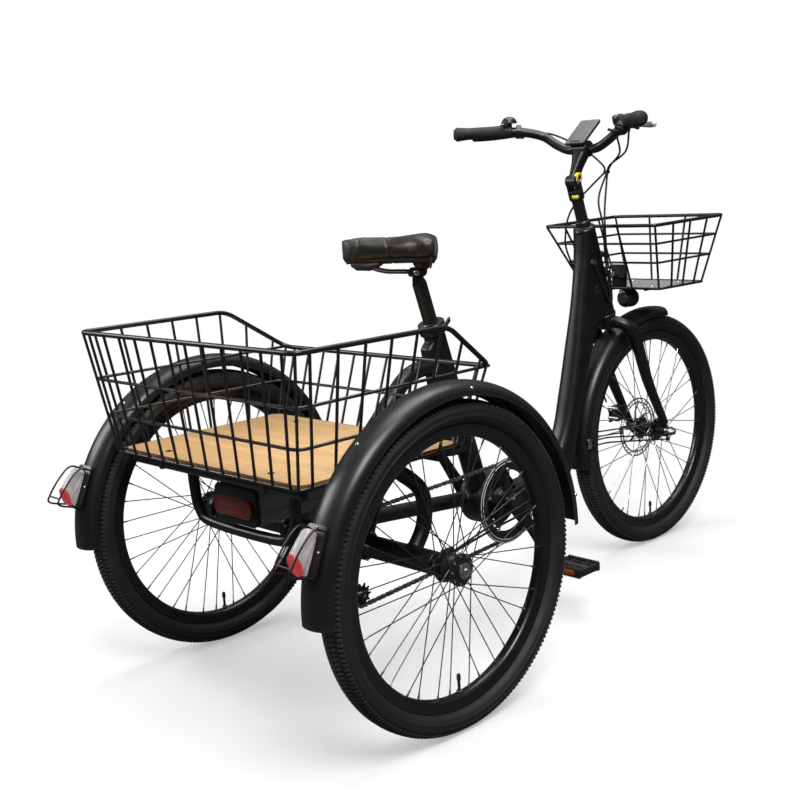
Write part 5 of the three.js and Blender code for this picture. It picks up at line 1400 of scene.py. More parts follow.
def saddle():
    """The cushion and its seams; the base and rails are built by saddle_base."""
    shape = saddle_shape(inset=0.0040)
    pad_piece = Piece("saddle_cushion")
    pad_piece.add(shape, COVER)
    pad = bpy.data.objects.new("saddle_cushion", pad_piece.mesh())
    bpy.context.scene.collection.objects.link(pad)
    swollen(pad, 0.0045, 0.006)
    smooth = pad.modifiers.new("even", "SMOOTH")
    smooth.factor, smooth.iterations = 0.5, 3
    fine = pad.modifiers.new("fine", "SUBSURF")
    fine.levels = fine.render_levels = 2
    applied(pad)
    press_seams(pad.data)
    pad.data.materials.clear()
    # Faces ahead of the front seam take the lighter copy of the cover, a painted highlight on the nose.
    for look in (COVER, NOSE_HIGHLIGHT_COVER):
        pad.data.materials.append(look)
    for face in pad.data.polygons:
        lean = (face.center.z - SADDLE_LOW) * 0.18
        face.material_index = 1 if face.center.y < -0.128 + lean else 0
        face.use_smooth = True
    pad.data.transform(seat_matrix())
    pad.data.update()
    settle(pad, "seat", "saddle", slot="saddle_leather")
    return pad


def saddle_base():
    """The moulded pan, the nose socket, the elastomer block, rails and clamp."""
    piece = Piece("saddle_pan_and_rails")
    turn = seat_matrix()
    pan_z = SADDLE_LOW - 0.003
    rings = []
    for z, grow in ((pan_z - 0.002, -0.022), (pan_z, -0.018), (pan_z + 0.003, -0.016), (pan_z + 0.0075, -0.016)):
        ring = []
        ys = [-0.150 + 0.190 * i / 24 for i in range(25)]
        for y in ys:
            ring.append(Vector((max(0.004, saddle_half_width(y) + grow), y, z)))
        for y in reversed(ys):
            ring.append(Vector((-max(0.004, saddle_half_width(y) + grow), y, z)))
        rings.append(ring)
    piece.add(moved(skin(rings), turn), PLASTIC)
    socket = [oval(Vector((0, y, z)), X * w, Z * h, 3, 28)
              for y, z, w, h in ((-0.140, pan_z - 0.003, 0.012, 0.004), (-0.128, pan_z - 0.007, 0.021, 0.009),
                                 (-0.100, pan_z - 0.008, 0.024, 0.010), (-0.078, pan_z - 0.004, 0.020, 0.006),
                                 (-0.070, pan_z - 0.001, 0.012, 0.003))]
    piece.add(moved(skin(socket), turn), PLASTIC)
    for side in (-1, 1):
        rail = [Vector((side * 0.014, -0.112, pan_z - 0.006)), Vector((side * 0.019, -0.072, CLAMP.z + 0.009)),
                Vector((side * 0.020, -0.040, CLAMP.z + 0.006)), Vector((side * 0.020, 0.010, CLAMP.z + 0.006)),
                Vector((side * 0.028, 0.034, pan_z - 0.001))]
        piece.add(moved(tube(curve(rail, 8), 0.0035, 14), turn), SATIN)
        dome = Vector((side * 0.036, 0.010, pan_z - 0.001))
        piece.add(moved(lathe([(0, 0), (0, 0.017), (0.006, 0.0165), (0.012, 0.0125), (0.0155, 0.006), (0.016, 0)],
                              dome, -Z, 28), turn), PLASTIC)
    piece.add(moved(block((-0.027, -0.019, CLAMP.z - 0.0048), (0.027, 0.019, CLAMP.z + 0.012), 0.005), turn), SATIN)
    piece.add(moved(rod(Vector((-0.032, 0, CLAMP.z + 0.004)), Vector((0.032, 0, CLAMP.z + 0.004)), 0.0065, 20),
                    turn), SATIN)
    for side in (-1, 1):
        end = turn @ Vector((side * 0.032, 0, CLAMP.z + 0.004))
        bolt(piece, end, (turn.to_3x3() @ X) * side, 0.0065)
    skirt = []
    for i in range(15):
        x = -0.070 + 0.140 * i / 14
        arch = 0.020 * (1 - (x / 0.070) ** 2)
        skirt.append([Vector((x, 0.036 + 0.004 * (1 - (x / 0.07) ** 2), pan_z + 0.010)),
                      Vector((x, 0.033 + 0.004 * (1 - (x / 0.07) ** 2), pan_z - 0.014 + arch)),
                      Vector((x, 0.029 + 0.004 * (1 - (x / 0.07) ** 2), pan_z - 0.014 + arch)),
                      Vector((x, 0.031 + 0.004 * (1 - (x / 0.07) ** 2), pan_z + 0.010))])
    piece.add(moved(skin(skirt), turn), PLASTIC)
    piece.build("seat", "saddle_base", slot="pedal_plastic")


def seat_post():
    piece = Piece("seat_post_tube")
    top = SEAT_POST_TOP
    base = SEAT_FOOT
    piece.add(lathe([(0.190, 0), (0.190, 0.0156), (top - 0.010, 0.0156), (top - 0.006, 0.0145),
                     (top, 0.0118), (top, 0)], base, SEAT_WAY, 40), PAINT)
    head = CLAMP - Z * 0.010
    piece.add(lathe([(-0.012, 0), (-0.012, 0.0125), (-0.002, 0.0125), (0.0040, 0.0120), (0.0046, 0.0110),
                     (0.0046, 0)], head, Z, 36), PAINT)
    piece.build("post", "seat_post", slot="alloy")


def seat_clamp():
    piece = Piece("seat_tube_clamp")
    top = SEAT_TUBE_TOP
    piece.add(lathe([(top - 0.020, 0.0243), (top - 0.020, 0.0285), (top - 0.019, 0.0295), (top + 0.003, 0.0295),
                     (top + 0.004, 0.0285), (top + 0.004, 0.0165), (top + 0.0006, 0.0165), (top + 0.0006, 0.0243)],
                    SEAT_FOOT, SEAT_WAY, 48, loop=True), SATIN)
    boss = pivot("clamp_lever_turn")
    for shift in (-0.0085, 0.0030):
        ear = boss + Vector((shift, -0.0115, 0))
        piece.add(block(ear - Vector((0, 0.008, 0.0085)), ear + Vector((0.0055, 0.0095, 0.0085)), 0.0022), SATIN)
    piece.build("frame", "seat_clamp", slot="satin_steel")
    lever = Piece("seat_clamp_handle")
    lever.add(lathe([(-0.007, 0), (-0.007, 0.0052), (-0.006, 0.006), (0.006, 0.006), (0.007, 0.0052), (0.007, 0)],
                    boss, Z, 28), STEEL)
    points = [boss, boss + Vector((-0.020, -0.009, 0)), boss + Vector((-0.0255, -0.031, 0.003)),
              boss + Vector((-0.021, -0.053, 0.015))]
    path = curve(points, 6)
    rings = []
    for i, (point, tall) in enumerate(zip(path, np.linspace(0.0042, 0.0062, len(path)))):
        way = path[min(i + 1, len(path) - 1)] - path[max(i - 1, 0)]
        rings.append(oval(point, way.cross(Z).normalized() * 0.0034, Z * tall, 2.6, 20))
    lever.add(skin(rings), SATIN)
    lever.build("clamp_lever", "seat_clamp_lever", slot="chain_steel")


def add_seat():
    seat_post()
    seat_clamp()
    saddle_base()
    saddle()

# Deck, baskets and headlamp.

WIRE_RADIUS = 0.0028
STOUT_WIRE = 0.0034
RIM_WIRE = 0.0048


def cargo_deck():
    """The bamboo board, its browned edge and four screws."""
    low, high = DECK_LOW, DECK_HIGH
    centre = (low + high) / 2
    half = (high - low) / 2
    board = Piece("bamboo_deck")
    shape = rounded_slab(half.x, half.y, 0.022, high.z - low.z, 0.0014, centre, X, Y, 10)
    points, faces = shape
    board.points = [tuple(p) for p in points]
    board.faces, board.materials = faces, [WOOD, WOOD_EDGE]
    for face in faces:
        board.looks.append(0 if len(face) > 4 else 1)
    for x in (-RAIL_X, RAIL_X):
        for y in (low.y + 0.040, high.y - 0.030):
            bolt(board, Vector((x, y, high.z - 0.0008)), Z, 0.0072, PLASTIC)
    board.build("frame", "cargo_deck", slot="bamboo", sharp=30)


BASKET_LOW, BASKET_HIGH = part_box("rear_basket")
FLOOR_Z, NOSE_Z, RIM_Z = 0.496, 0.640, 0.733
FLOOR_FRONT, FLOOR_BACK, FLOOR_HALF = DECK_LOW.y - 0.008, DECK_HIGH.y + 0.008, DECK_HIGH.x + 0.008
NOSE_Y, NOSE_HALF = REAR_AXLE.y - 0.184, 0.302
KNEE_Y, RIM_BACK, RIM_HALF = REAR_AXLE.y - 0.046, REAR_AXLE.y + 0.305, 0.330


def basket_side(share, side):
    """The foot and head of an upright on the side wall, front (0) to back (1)."""
    foot_y = FLOOR_FRONT + (FLOOR_BACK - FLOOR_FRONT) * share
    head_y = NOSE_Y + (RIM_BACK - NOSE_Y) * share
    rise = min(1.0, (head_y - NOSE_Y) / (KNEE_Y - NOSE_Y))
    head = Vector((side * (NOSE_HALF + (RIM_HALF - NOSE_HALF) * rise), head_y, NOSE_Z + (RIM_Z - NOSE_Z) * rise))
    return Vector((side * FLOOR_HALF, foot_y, FLOOR_Z)), head


def basket_level(height):
    """One horizontal wire's corners, front left round to front right."""
    t = (height - FLOOR_Z) / (RIM_Z - FLOOR_Z)
    nose_share = (height - FLOOR_Z) / (NOSE_Z - FLOOR_Z)
    front = (FLOOR_FRONT + (NOSE_Y - FLOOR_FRONT) * nose_share if nose_share <= 1
             else NOSE_Y + (KNEE_Y - NOSE_Y) * (height - NOSE_Z) / (RIM_Z - NOSE_Z))
    rear = FLOOR_BACK + (RIM_BACK - FLOOR_BACK) * t
    half = FLOOR_HALF + (RIM_HALF - FLOOR_HALF) * t
    front_half = FLOOR_HALF + (NOSE_HALF - FLOOR_HALF) * min(1.0, nose_share)
    return [Vector((front_half, front, height)), Vector((half, rear, height)), Vector((-half, rear, height)),
            Vector((-front_half, front, height))]


def upright_wire(piece, foot, head, inward):
    """A wire that stands against the rim and hooks under the floor frame."""
    bend = foot + inward * 0.010
    piece.add(tube(rounded([bend, foot - inward * 0.002, head], 0.010, steps=4), WIRE_RADIUS, 10), WIRE)


def rear_basket():
    """The wire basket: rim, floor frame, uprights and two bands."""
    piece = Piece("rear_wire_basket")
    rim = [Vector((NOSE_HALF, NOSE_Y, NOSE_Z)), Vector((RIM_HALF, KNEE_Y, RIM_Z)),
           Vector((RIM_HALF, RIM_BACK, RIM_Z))]
    loop = [*rim, *reversed(mirrored_points(rim))]
    piece.add(tube(rounded(loop, 0.024, closed=True, steps=8), RIM_WIRE, 14, closed=True), WIRE)
    floor = [Vector((FLOOR_HALF, FLOOR_FRONT, FLOOR_Z)), Vector((FLOOR_HALF, FLOOR_BACK, FLOOR_Z)),
             Vector((-FLOOR_HALF, FLOOR_BACK, FLOOR_Z)), Vector((-FLOOR_HALF, FLOOR_FRONT, FLOOR_Z))]
    piece.add(tube(rounded(floor, 0.020, closed=True), STOUT_WIRE, 12, closed=True), WIRE)
    for height in (0.569, 0.641):
        band = basket_level(height)
        whole = height < NOSE_Z
        piece.add(tube(rounded(band, 0.022, closed=whole), WIRE_RADIUS * 1.1, 10, closed=whole), WIRE)
    for side in (-1, 1):
        piece.add(tube([Vector((side * FLOOR_HALF * 0.985, FLOOR_BACK, FLOOR_Z)),
                        Vector((side * RIM_HALF * 0.985, RIM_BACK - 0.004, RIM_Z))], WIRE_RADIUS, 10), WIRE)
        piece.add(tube([Vector((side * FLOOR_HALF * 0.985, FLOOR_FRONT, FLOOR_Z)),
                        Vector((side * NOSE_HALF * 0.985, NOSE_Y + 0.004, NOSE_Z))], WIRE_RADIUS, 10), WIRE)
    count = 12
    for i in range(count):
        t = -1 + 2 * (i + 0.5) / count
        upright_wire(piece, Vector((t * FLOOR_HALF, FLOOR_BACK, FLOOR_Z)),
                     Vector((t * RIM_HALF * 0.98, RIM_BACK, RIM_Z)), -Y)
        upright_wire(piece, Vector((t * FLOOR_HALF, FLOOR_FRONT, FLOOR_Z)),
                     Vector((t * NOSE_HALF * 0.98, NOSE_Y, NOSE_Z)), Y)
    for side in (-1, 1):
        for i in range(8):
            foot, head = basket_side((i + 0.5) / 8, side)
            upright_wire(piece, foot, head, X * -side)
        for y in (DECK_LOW.y + 0.040, DECK_HIGH.y - 0.020):
            tab = Vector((side * (FLOOR_HALF - 0.012), y, FLOOR_Z - 0.004))
            piece.add(block(tab - Vector((0.012, 0.008, 0.0015)), tab + Vector((0.012, 0.008, 0.0015)), 0.001), WIRE)
    piece.build("frame", "rear_basket", slot="wire_paint")


FRONT_RIM = (0.862, REAR_AXLE.y - 0.950, REAR_AXLE.y - 1.257, 0.166)
FRONT_FLOOR = (0.693, REAR_AXLE.y - 1.036, REAR_AXLE.y - 1.238, 0.118)


def front_ring(t):
    """A level ring of the front basket, floor (0) to rim (1), as four corners."""
    z, rear, front, half = (a + (b - a) * t for a, b in zip(FRONT_FLOOR, FRONT_RIM))
    low = z - 0.008 * t
    return [Vector((half, rear, low)), Vector((half, front, z)), Vector((-half, front, z)),
            Vector((-half, rear, low))]


def front_basket():
    """The front wire basket with its bracket to the head tube."""
    piece = Piece("front_wire_basket")
    for t, radius, corner in ((0.0, STOUT_WIRE * 0.95, 0.012), (0.42, WIRE_RADIUS, 0.014),
                              (0.72, WIRE_RADIUS, 0.016), (1.0, RIM_WIRE * 0.9, 0.018)):
        piece.add(tube(rounded(front_ring(t), corner, closed=True, steps=6), radius, 12, closed=True), WIRE)
    low, high = front_ring(0), front_ring(1)
    counts = (3, 2, 3, 2)
    for wall, count in enumerate(counts):
        after = (wall + 1) % 4
        inward = ((low[(wall + 2) % 4] + low[(wall + 3) % 4]) - (low[wall] + low[after])).normalized()
        for i in range(count):
            t = (i + 1) / (count + 1)
            upright_wire(piece, low[wall].lerp(low[after], t), high[wall].lerp(high[after], t), inward)
        piece.add(tube([low[wall] * 0.985 + low[wall - 2] * 0.015, high[wall] * 0.99 + high[wall - 2] * 0.01],
                       WIRE_RADIUS, 10), WIRE)
    for x in (-0.075, -0.025, 0.025, 0.075):
        piece.add(rod(Vector((x, FRONT_FLOOR[1], FRONT_FLOOR[0] - 0.0035)),
                      Vector((x, FRONT_FLOOR[2], FRONT_FLOOR[0] - 0.0035)), WIRE_RADIUS, 10), WIRE)
    rear, z = FRONT_FLOOR[1], FRONT_FLOOR[0]
    piece.add(block((-0.022, rear - 0.001, z - 0.004), (0.022, rear + 0.0028, z + 0.060), 0.001), SATIN)
    for x in (-0.013, 0.013):
        start = Vector((x, rear + 0.002, z + 0.030))
        end = Vector((x, on_head(0.06).y - 0.038, z + 0.040))
        piece.add(rod(start, end, 0.0065, 18), SATIN)
        bolt(piece, Vector((x, rear - 0.0006, z + 0.030)), -Y, 0.0050)
    piece.build("frame", "front_basket", slot="wire_paint")


def front_tray():
    low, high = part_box("front_basket_tray")
    centre = (low + high) / 2
    half = (high - low) / 2
    piece = Piece("front_tray_panel")
    piece.add(rounded_slab(half.x, half.y, 0.014, high.z - low.z, 0.0006, centre, X, Y), TRAY)
    inner = centre + Z * (half.z - 0.0006)
    for share in (-0.6, -0.2, 0.2, 0.6):
        rib = inner + X * half.x * share
        piece.add(rounded_slab(0.004, half.y - 0.020, 0.0038, 0.0016, 0.0005, rib, X, Y, 4), TRAY)
    for x in (-0.07, 0.07):
        for y in (-0.06, 0.06):
            bolt(piece, inner + Vector((x, y, 0)), Z, 0.0045)
    piece.build("frame", "front_basket_tray", slot="tray_plastic")


def headlamp():
    """The round headlamp under the basket, with its lens, collar and arm."""
    low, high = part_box("headlamp")
    centre = Vector((0, REAR_AXLE.y - 1.066, 0.664))
    piece = Piece("headlamp_body")
    piece.add(lathe([(-0.0215, 0), (-0.0215, 0.012), (-0.018, 0.016), (-0.006, 0.0215), (0.008, 0.0238),
                     (0.0185, 0.0238), (0.0218, 0.0228), (0.0218, 0.0200), (0.0185, 0.0195), (0.0185, 0)],
                    centre, -Y, 44), PLASTIC)
    piece.add(lathe([(0.0155, 0), (0.0155, 0.0196), (0.0195, 0.0192), (0.0215, 0.0150), (0.0222, 0.0080),
                     (0.0224, 0)], centre, -Y, 40), LAMP_CLEAR)
    for along in (-0.010, -0.004, 0.002):
        piece.add(lathe([(along, 0.017), (along, 0.0225), (along + 0.002, 0.0232), (along + 0.002, 0.017)],
                        centre, -Y, 40, loop=True), PLASTIC)
    arm = [centre + Vector((0, 0.012, 0.010)), centre + Vector((0, 0.024, 0.018)),
           Vector((0, high.y - 0.006, high.z - 0.006))]
    piece.add(tube(curve(arm, 6), 0.0052, 16), SATIN)
    bolt(piece, centre + Vector((0, 0.020, 0.016)) - X * 0.006, -X, 0.0042)
    piece.build("frame", "headlamp", slot="lamp_body")


# Tail lamps.


def lamp_matrix(side):
    """Turns a lamp drawn on a level floor, with +Y down its fender, to its place."""
    down, out = Vector((0, 0.4067, -0.9135)), Vector((0, 0.9135, 0.4067))
    turn = Matrix((X, down, out)).transposed().to_4x4()
    return Matrix.Translation((side * HALF_TRACK, REAR_AXLE.y + 0.3206, REAR_AXLE.z + 0.116)) @ turn


LAMP_TOP, LAMP_FACE = Vector((0, -0.028, 0.0155)), Vector((0, 0.0270, 0.0275))
FACE_UP = Vector((0, -0.76, 0.65))
FACE_OUT = Vector((0, 0.65, 0.76))


def lamp_ring(share, size, proud=0.0):
    """One section of the lamp, square to its axis at the fender end (0) and slanted at the red face (1)."""
    lean = Vector((0, -0.15, 0.99)).lerp(FACE_UP, min(1.0, max(0.0, share))).normalized()
    spot = LAMP_TOP + (LAMP_FACE - LAMP_TOP) * share + FACE_OUT * proud
    return oval(spot, X * size, lean * size * 1.22, 2.3, 44)


def tail_lamp(name, side):
    """A clear ribbed body that leaves the fender, with an oval red face looking back and down."""
    turn = lamp_matrix(side)
    lamp = Piece(f"tail_lamp_lens_{name}")
    sizes = [(-0.09, 0.0030), (-0.07, 0.0070), (-0.02, 0.0098), (0.05, 0.0108), (0.35, 0.0120), (0.7, 0.0140),
             (0.97, 0.0154)]
    lamp.add(moved(skin([lamp_ring(t, r) for t, r in sizes]), turn), LAMP_CLEAR)
    for k in range(7):
        angle = math.radians(30 + 20 * k)
        line = []
        for share, size in ((0.04, 0.0108), (0.35, 0.0121), (0.7, 0.0141), (0.94, 0.0154)):
            ring = lamp_ring(share, size)
            line.append(ring[int(round(angle / (2 * math.pi) * len(ring))) % len(ring)])
        lamp.add(moved(tube(line, 0.00075, 8), turn), LAMP_CLEAR)
    wedge = [oval(Vector((0, y, 0.0045 + h)), X * w, Vector((0, 0, h)), 3.5, 28)
             for y, w, h in ((-0.020, 0.0070, 0.0015), (0.000, 0.0095, 0.0050), (0.020, 0.0105, 0.0070),
                             (0.034, 0.0100, 0.0068), (0.040, 0.0080, 0.0045))]
    lamp.add(moved(skin(wedge), turn), LAMP_CLEAR)
    face = [(0.0154, -0.0012), (0.0163, -0.0004), (0.0165, 0.0016), (0.0150, 0.0034), (0.0105, 0.0046),
            (0.0050, 0.0052), (0.0006, 0.0053)]
    lamp.add(moved(skin([lamp_ring(1.0, r, d) for r, d in face]), turn), LAMP_RED)
    for size, proud in ((0.0151, 0.0034), (0.0108, 0.0046), (0.0060, 0.0053)):
        lamp.add(moved(tube(lamp_ring(1.0, size, proud), 0.0006, 8, closed=True), turn), LAMP_RED)
    lamp.build("frame", f"tail_lamp_{name}", slot="red_lens")
    guard = Piece(f"tail_lamp_guard_{name}")
    for x in (-0.020, 0.020):
        hoop = [Vector((x, y, z)) for y, z in ((-0.035, 0.0025), (-0.032, 0.026), (-0.006, 0.041),
                                               (0.030, 0.051), (0.046, 0.047), (0.041, 0.0025))]
        guard.add(moved(tube(curve(hoop, 7), 0.0019, 12), turn), WIRE)
    guard.add(moved(rod(Vector((-0.020, 0.034, 0.051)), Vector((0.020, 0.034, 0.051)), 0.0017, 12), turn), WIRE)
    guard.add(moved(rounded_slab(0.025, 0.045, 0.010, 0.0026, 0.0007, Vector((0, 0.002, 0.0023)), X, Y), turn), WIRE)
    for x, y in ((-0.019, 0.0), (0.019, 0.0), (0.0, -0.038), (0.0, 0.042)):
        bolt(guard, turn @ Vector((x, y, 0.0034)), turn.to_3x3() @ Z, 0.0026)
    guard.build("frame", f"lamp_guard_{name}", slot="wire_paint")


def battery_pack():
    """The aluminium battery rail under the deck and the red light at its back."""
    low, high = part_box("battery")
    centre = (low + high) / 2
    half = (high - low) / 2
    piece = Piece("battery_case")
    section = [(1.0, 0.0), (1.0, 0.62), (0.86, 1.0), (0.30, 1.0), (0.27, 0.93), (-0.27, 0.93), (-0.30, 1.0),
               (-0.86, 1.0), (-1.0, 0.62), (-1.0, 0.28), (-0.965, 0.24), (-0.965, -0.24), (-1.0, -0.28),
               (-1.0, -0.62), (-0.86, -1.0), (0.86, -1.0), (1.0, -0.62), (1.0, -0.28), (0.965, -0.24),
               (0.965, 0.24), (1.0, 0.28)]
    section = section[1:]
    outline = rounded([Vector((a * half.x, 0, b * half.z)) for a, b in section], 0.006, closed=True, steps=3)
    rings = [[p + Vector((centre.x, y, centre.z)) for p in outline] for y in (low.y + 0.010, high.y - 0.010)]
    piece.add(skin(rings), CASE_GREY)
    for y0, y1 in ((low.y, low.y + 0.011), (high.y - 0.011, high.y)):
        piece.add(rounded_slab(half.x, half.z, 0.016, y1 - y0, 0.002, Vector((centre.x, (y0 + y1) / 2, centre.z)),
                               X, -Z), PLASTIC)
    piece.add(block((-0.020, high.y - 0.030, high.z - 0.010), (0.020, high.y - 0.012, high.z + 0.001), 0.003), PLASTIC)
    piece.build("battery_pack", "battery", slot="alloy")
    lens_low, lens_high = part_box("battery_lens")
    mid, span = (lens_low + lens_high) / 2, (lens_high - lens_low) / 2
    lens = Piece("battery_tail_light")
    lens.add(rounded_slab(span.x * 1.10, span.z * 0.84, 0.014, lens_high.y - lens_low.y, 0.0022, mid, X, -Z, 10), RED_LENS)
    for share in (-0.5, 0.0, 0.5):
        lens.add(rounded_slab(span.x * 0.86, 0.0022, 0.0020, 0.0016, 0.0004,
                              mid + Vector((0, span.y, share * span.z)), X, -Z, 4), RED_LENS)
    lens.build("battery_pack", "battery_lens", slot="red_lens")


def add_cargo():
    cargo_deck()
    rear_basket()
    front_basket()
    front_tray()
    headlamp()
    tail_lamp("left", 1)
    tail_lamp("right", -1)
    battery_pack()


# Drive.

PITCH = 0.0127
RING_TEETH, COG_TEETH, JOCKEY_TEETH = 44, 18, 11
RING_SPOT = Vector((0, BRACKET.y, BRACKET.z))
COG_SPOT = Vector((0, REAR_AXLE.y, REAR_AXLE.z))
UPPER_JOCKEY, LOWER_JOCKEY = (Vector((0, pivot(n).y, pivot(n).z)) for n in ("upper_jockey_spin",
                                                                           "lower_jockey_spin"))


def pitch_radius(teeth):
    return PITCH / 2 / math.sin(math.pi / teeth)


STOPS = [(RING_SPOT, pitch_radius(RING_TEETH), 1), (LOWER_JOCKEY, pitch_radius(JOCKEY_TEETH), 1),
         (UPPER_JOCKEY, pitch_radius(JOCKEY_TEETH), -1), (COG_SPOT, pitch_radius(COG_TEETH), 1)]


def flat_turn(vector, angle):
    """Turns a (y, z) direction about the wheel axis."""
    c, s = math.cos(angle), math.sin(angle)
    return Vector((0, vector.y * c - vector.z * s, vector.y * s + vector.z * c))


def tangent(start, end):
    """The straight run of chain between two sprockets."""
    (a, radius_a, way_a), (b, radius_b, way_b) = start, end
    r1, r2 = way_a * radius_a, way_b * radius_b
    between = b - a
    lean = math.asin((r2 - r1) / between.length)
    normal = flat_turn(between.normalized(), -math.pi / 2 - lean)
    return a + normal * r1, b + normal * r2


def chain_path():
    """The pitch line of the chain as closely spaced points."""
    count = len(STOPS)
    runs = [tangent(STOPS[i], STOPS[(i + 1) % count]) for i in range(count)]
    path = []
    for i, (centre, radius, way) in enumerate(STOPS):
        arrive, leave = runs[i - 1][1] - centre, runs[i][0] - centre
        start = math.atan2(arrive.z, arrive.y)
        turn = math.atan2(leave.z, leave.y) - start
        while way > 0 and turn < 0:
            turn += 2 * math.pi
        while way < 0 and turn > 0:
            turn -= 2 * math.pi
        steps = max(4, int(abs(turn) * radius / 0.0015))
        path += [centre + flat_turn(arrive, turn * k / steps) for k in range(steps + 1)]
        first, last = runs[i]
        straight = int((last - first).length / 0.0015)
        path += [first.lerp(last, k / straight) for k in range(1, straight)]
    return path


def chain_pins():
    """Evenly spaced pin places, one pitch apart, round the whole chain."""
    path = chain_path()
    lengths = [0.0]
    for a, b in zip(path, [*path[1:], path[0]]):
        lengths.append(lengths[-1] + (b - a).length)
    pins = 2 * round(lengths[-1] / PITCH / 2)
    ys = [p.y for p in path] + [path[0].y]
    zs = [p.z for p in path] + [path[0].z]
    spots = np.linspace(0, lengths[-1], pins, endpoint=False)
    return [Vector((CHAIN_X, y, z)) for y, z in zip(np.interp(spots, lengths, ys), np.interp(spots, lengths, zs))]


def link_plate(start, end, x, thick=0.0010):
    """A waisted side plate between two pins."""
    way = (end - start).normalized()
    up = X.cross(way)
    length = (end - start).length
    outline = []
    for k in range(9):
        angle = math.pi / 2 + math.pi * k / 8
        outline.append(way * (math.cos(angle) * 0.0040) + up * (math.sin(angle) * 0.0040))
    outline.append(way * length * 0.5 - up * 0.0027)
    for k in range(9):
        angle = -math.pi / 2 + math.pi * k / 8
        outline.append(way * (length + math.cos(angle) * 0.0040) + up * (math.sin(angle) * 0.0040))
    outline.append(way * length * 0.5 + up * 0.0027)
    rings = [[start + X * (x + lift) + p for p in outline] for lift in (-thick / 2, thick / 2)]
    return skin(rings)


def chain():
    """Inner and outer link plates, rollers and pin heads."""
    pins = chain_pins()
    piece = Piece("drive_chain")
    for i, (a, b) in enumerate(zip(pins, [*pins[1:], pins[0]])):
        reach = 0.0021 if i % 2 else 0.0033
        for side in (-1, 1):
            piece.add(link_plate(a, b, side * reach), CHAIN)
        piece.add(rod(a - X * 0.0018, a + X * 0.0018, 0.0038, 12), CHAIN)
        piece.add(rod(a - X * 0.0042, a + X * 0.0042, 0.0017, 8), STEEL)
    piece.build("frame", "chain", slot="chain_steel")


def toothed(teeth, x_low, x_high, centre, inner):
    """A sprocket: roller seats between shaped teeth round its rim."""
    pitch = pitch_radius(teeth)
    outline = []
    for i in range(teeth):
        for share, lift in ((0.0, -0.0037), (0.16, -0.0034), (0.30, -0.0010), (0.42, 0.0030), (0.5, 0.0042),
                            (0.58, 0.0030), (0.70, -0.0010), (0.84, -0.0034)):
            angle = 2 * math.pi * (i + share) / teeth
            outline.append(((pitch + lift) * math.cos(angle), (pitch + lift) * math.sin(angle)))
    count = len(outline)
    rings = []
    for x, scale in ((x_low, 0.985), (x_low * 0.6 + x_high * 0.4, 1.0), (x_low * 0.4 + x_high * 0.6, 1.0),
                     (x_high, 0.985)):
        rings.append([centre + Vector((x, y * scale, z * scale)) for y, z in outline])
    hole = []
    for x in (x_high, x_low):
        hole.append([centre + Vector((x, inner * math.cos(2 * math.pi * k / count),
                                      inner * math.sin(2 * math.pi * k / count))) for k in range(count)])
    return skin([*rings, *hole], closed=True)


def ring_guard(piece):
    """The black guard disc with two bright rings and slots; the bolts and spider are added by chainring."""
    x = CHAIN_X - 0.0047
    centre = Vector((x, BRACKET.y, BRACKET.z))
    piece.add(lathe([(-0.0011, 0.0720), (-0.0016, 0.0735), (-0.0016, 0.0975), (-0.0008, 0.0985), (0.0012, 0.0985),
                     (0.0018, 0.0975), (0.0018, 0.0720)], centre, X, 96, loop=True), PLASTIC)
    for radius in (0.0962, 0.0895):
        piece.add(lathe([(-0.0022, radius - 0.0013), (-0.0029, radius), (-0.0022, radius + 0.0013),
                         (-0.0010, radius)], centre, X, 96, loop=True), RING_LINE)
    for i in range(40):
        angle = 2 * math.pi * i / 40
        if i % 8 in (0, 1):
            continue
        spot = centre + Vector((-0.0017, 0.0805 * math.cos(angle), 0.0805 * math.sin(angle)))
        out = Vector((0, math.cos(angle), math.sin(angle)))
        piece.add(rounded_slab(0.0050, 0.0019, 0.0018, 0.0012, 0.0003, spot, out, X.cross(out), 3), HUB)


def chainring():
    """The toothed ring, its spider, guard and bolts."""
    piece = Piece("chainring_assembly")
    centre = Vector((CHAIN_X, BRACKET.y, BRACKET.z))
    piece.add(toothed(RING_TEETH, -0.0011, 0.0011, centre, 0.0700), SATIN)
    ring_guard(piece)
    arms = 5
    for i in range(arms):
        angle = 2 * math.pi * i / arms + 0.3
        out = Vector((0, math.cos(angle), math.sin(angle)))
        across = X.cross(out)
        rings = [oval(centre + out * r - X * 0.002, X * t, across * w, 3.2, 20)
                 for r, t, w in ((0.014, 0.0050, 0.016), (0.035, 0.0042, 0.011), (0.060, 0.0034, 0.0085),
                                 (0.076, 0.0030, 0.0080), (0.080, 0.0026, 0.0060))]
        piece.add(skin(rings), SATIN)
        bolt(piece, centre + out * 0.072 - X * 0.0066, -X, 0.0055)
    piece.add(lathe([(-0.0065, 0.0098), (-0.0065, 0.024), (-0.0045, 0.0265), (0.0020, 0.0265), (0.0040, 0.024),
                     (0.0040, 0.0098)], centre, X, 44, loop=True), SATIN)
    piece.build("crank", "chainring", slot="satin_steel")


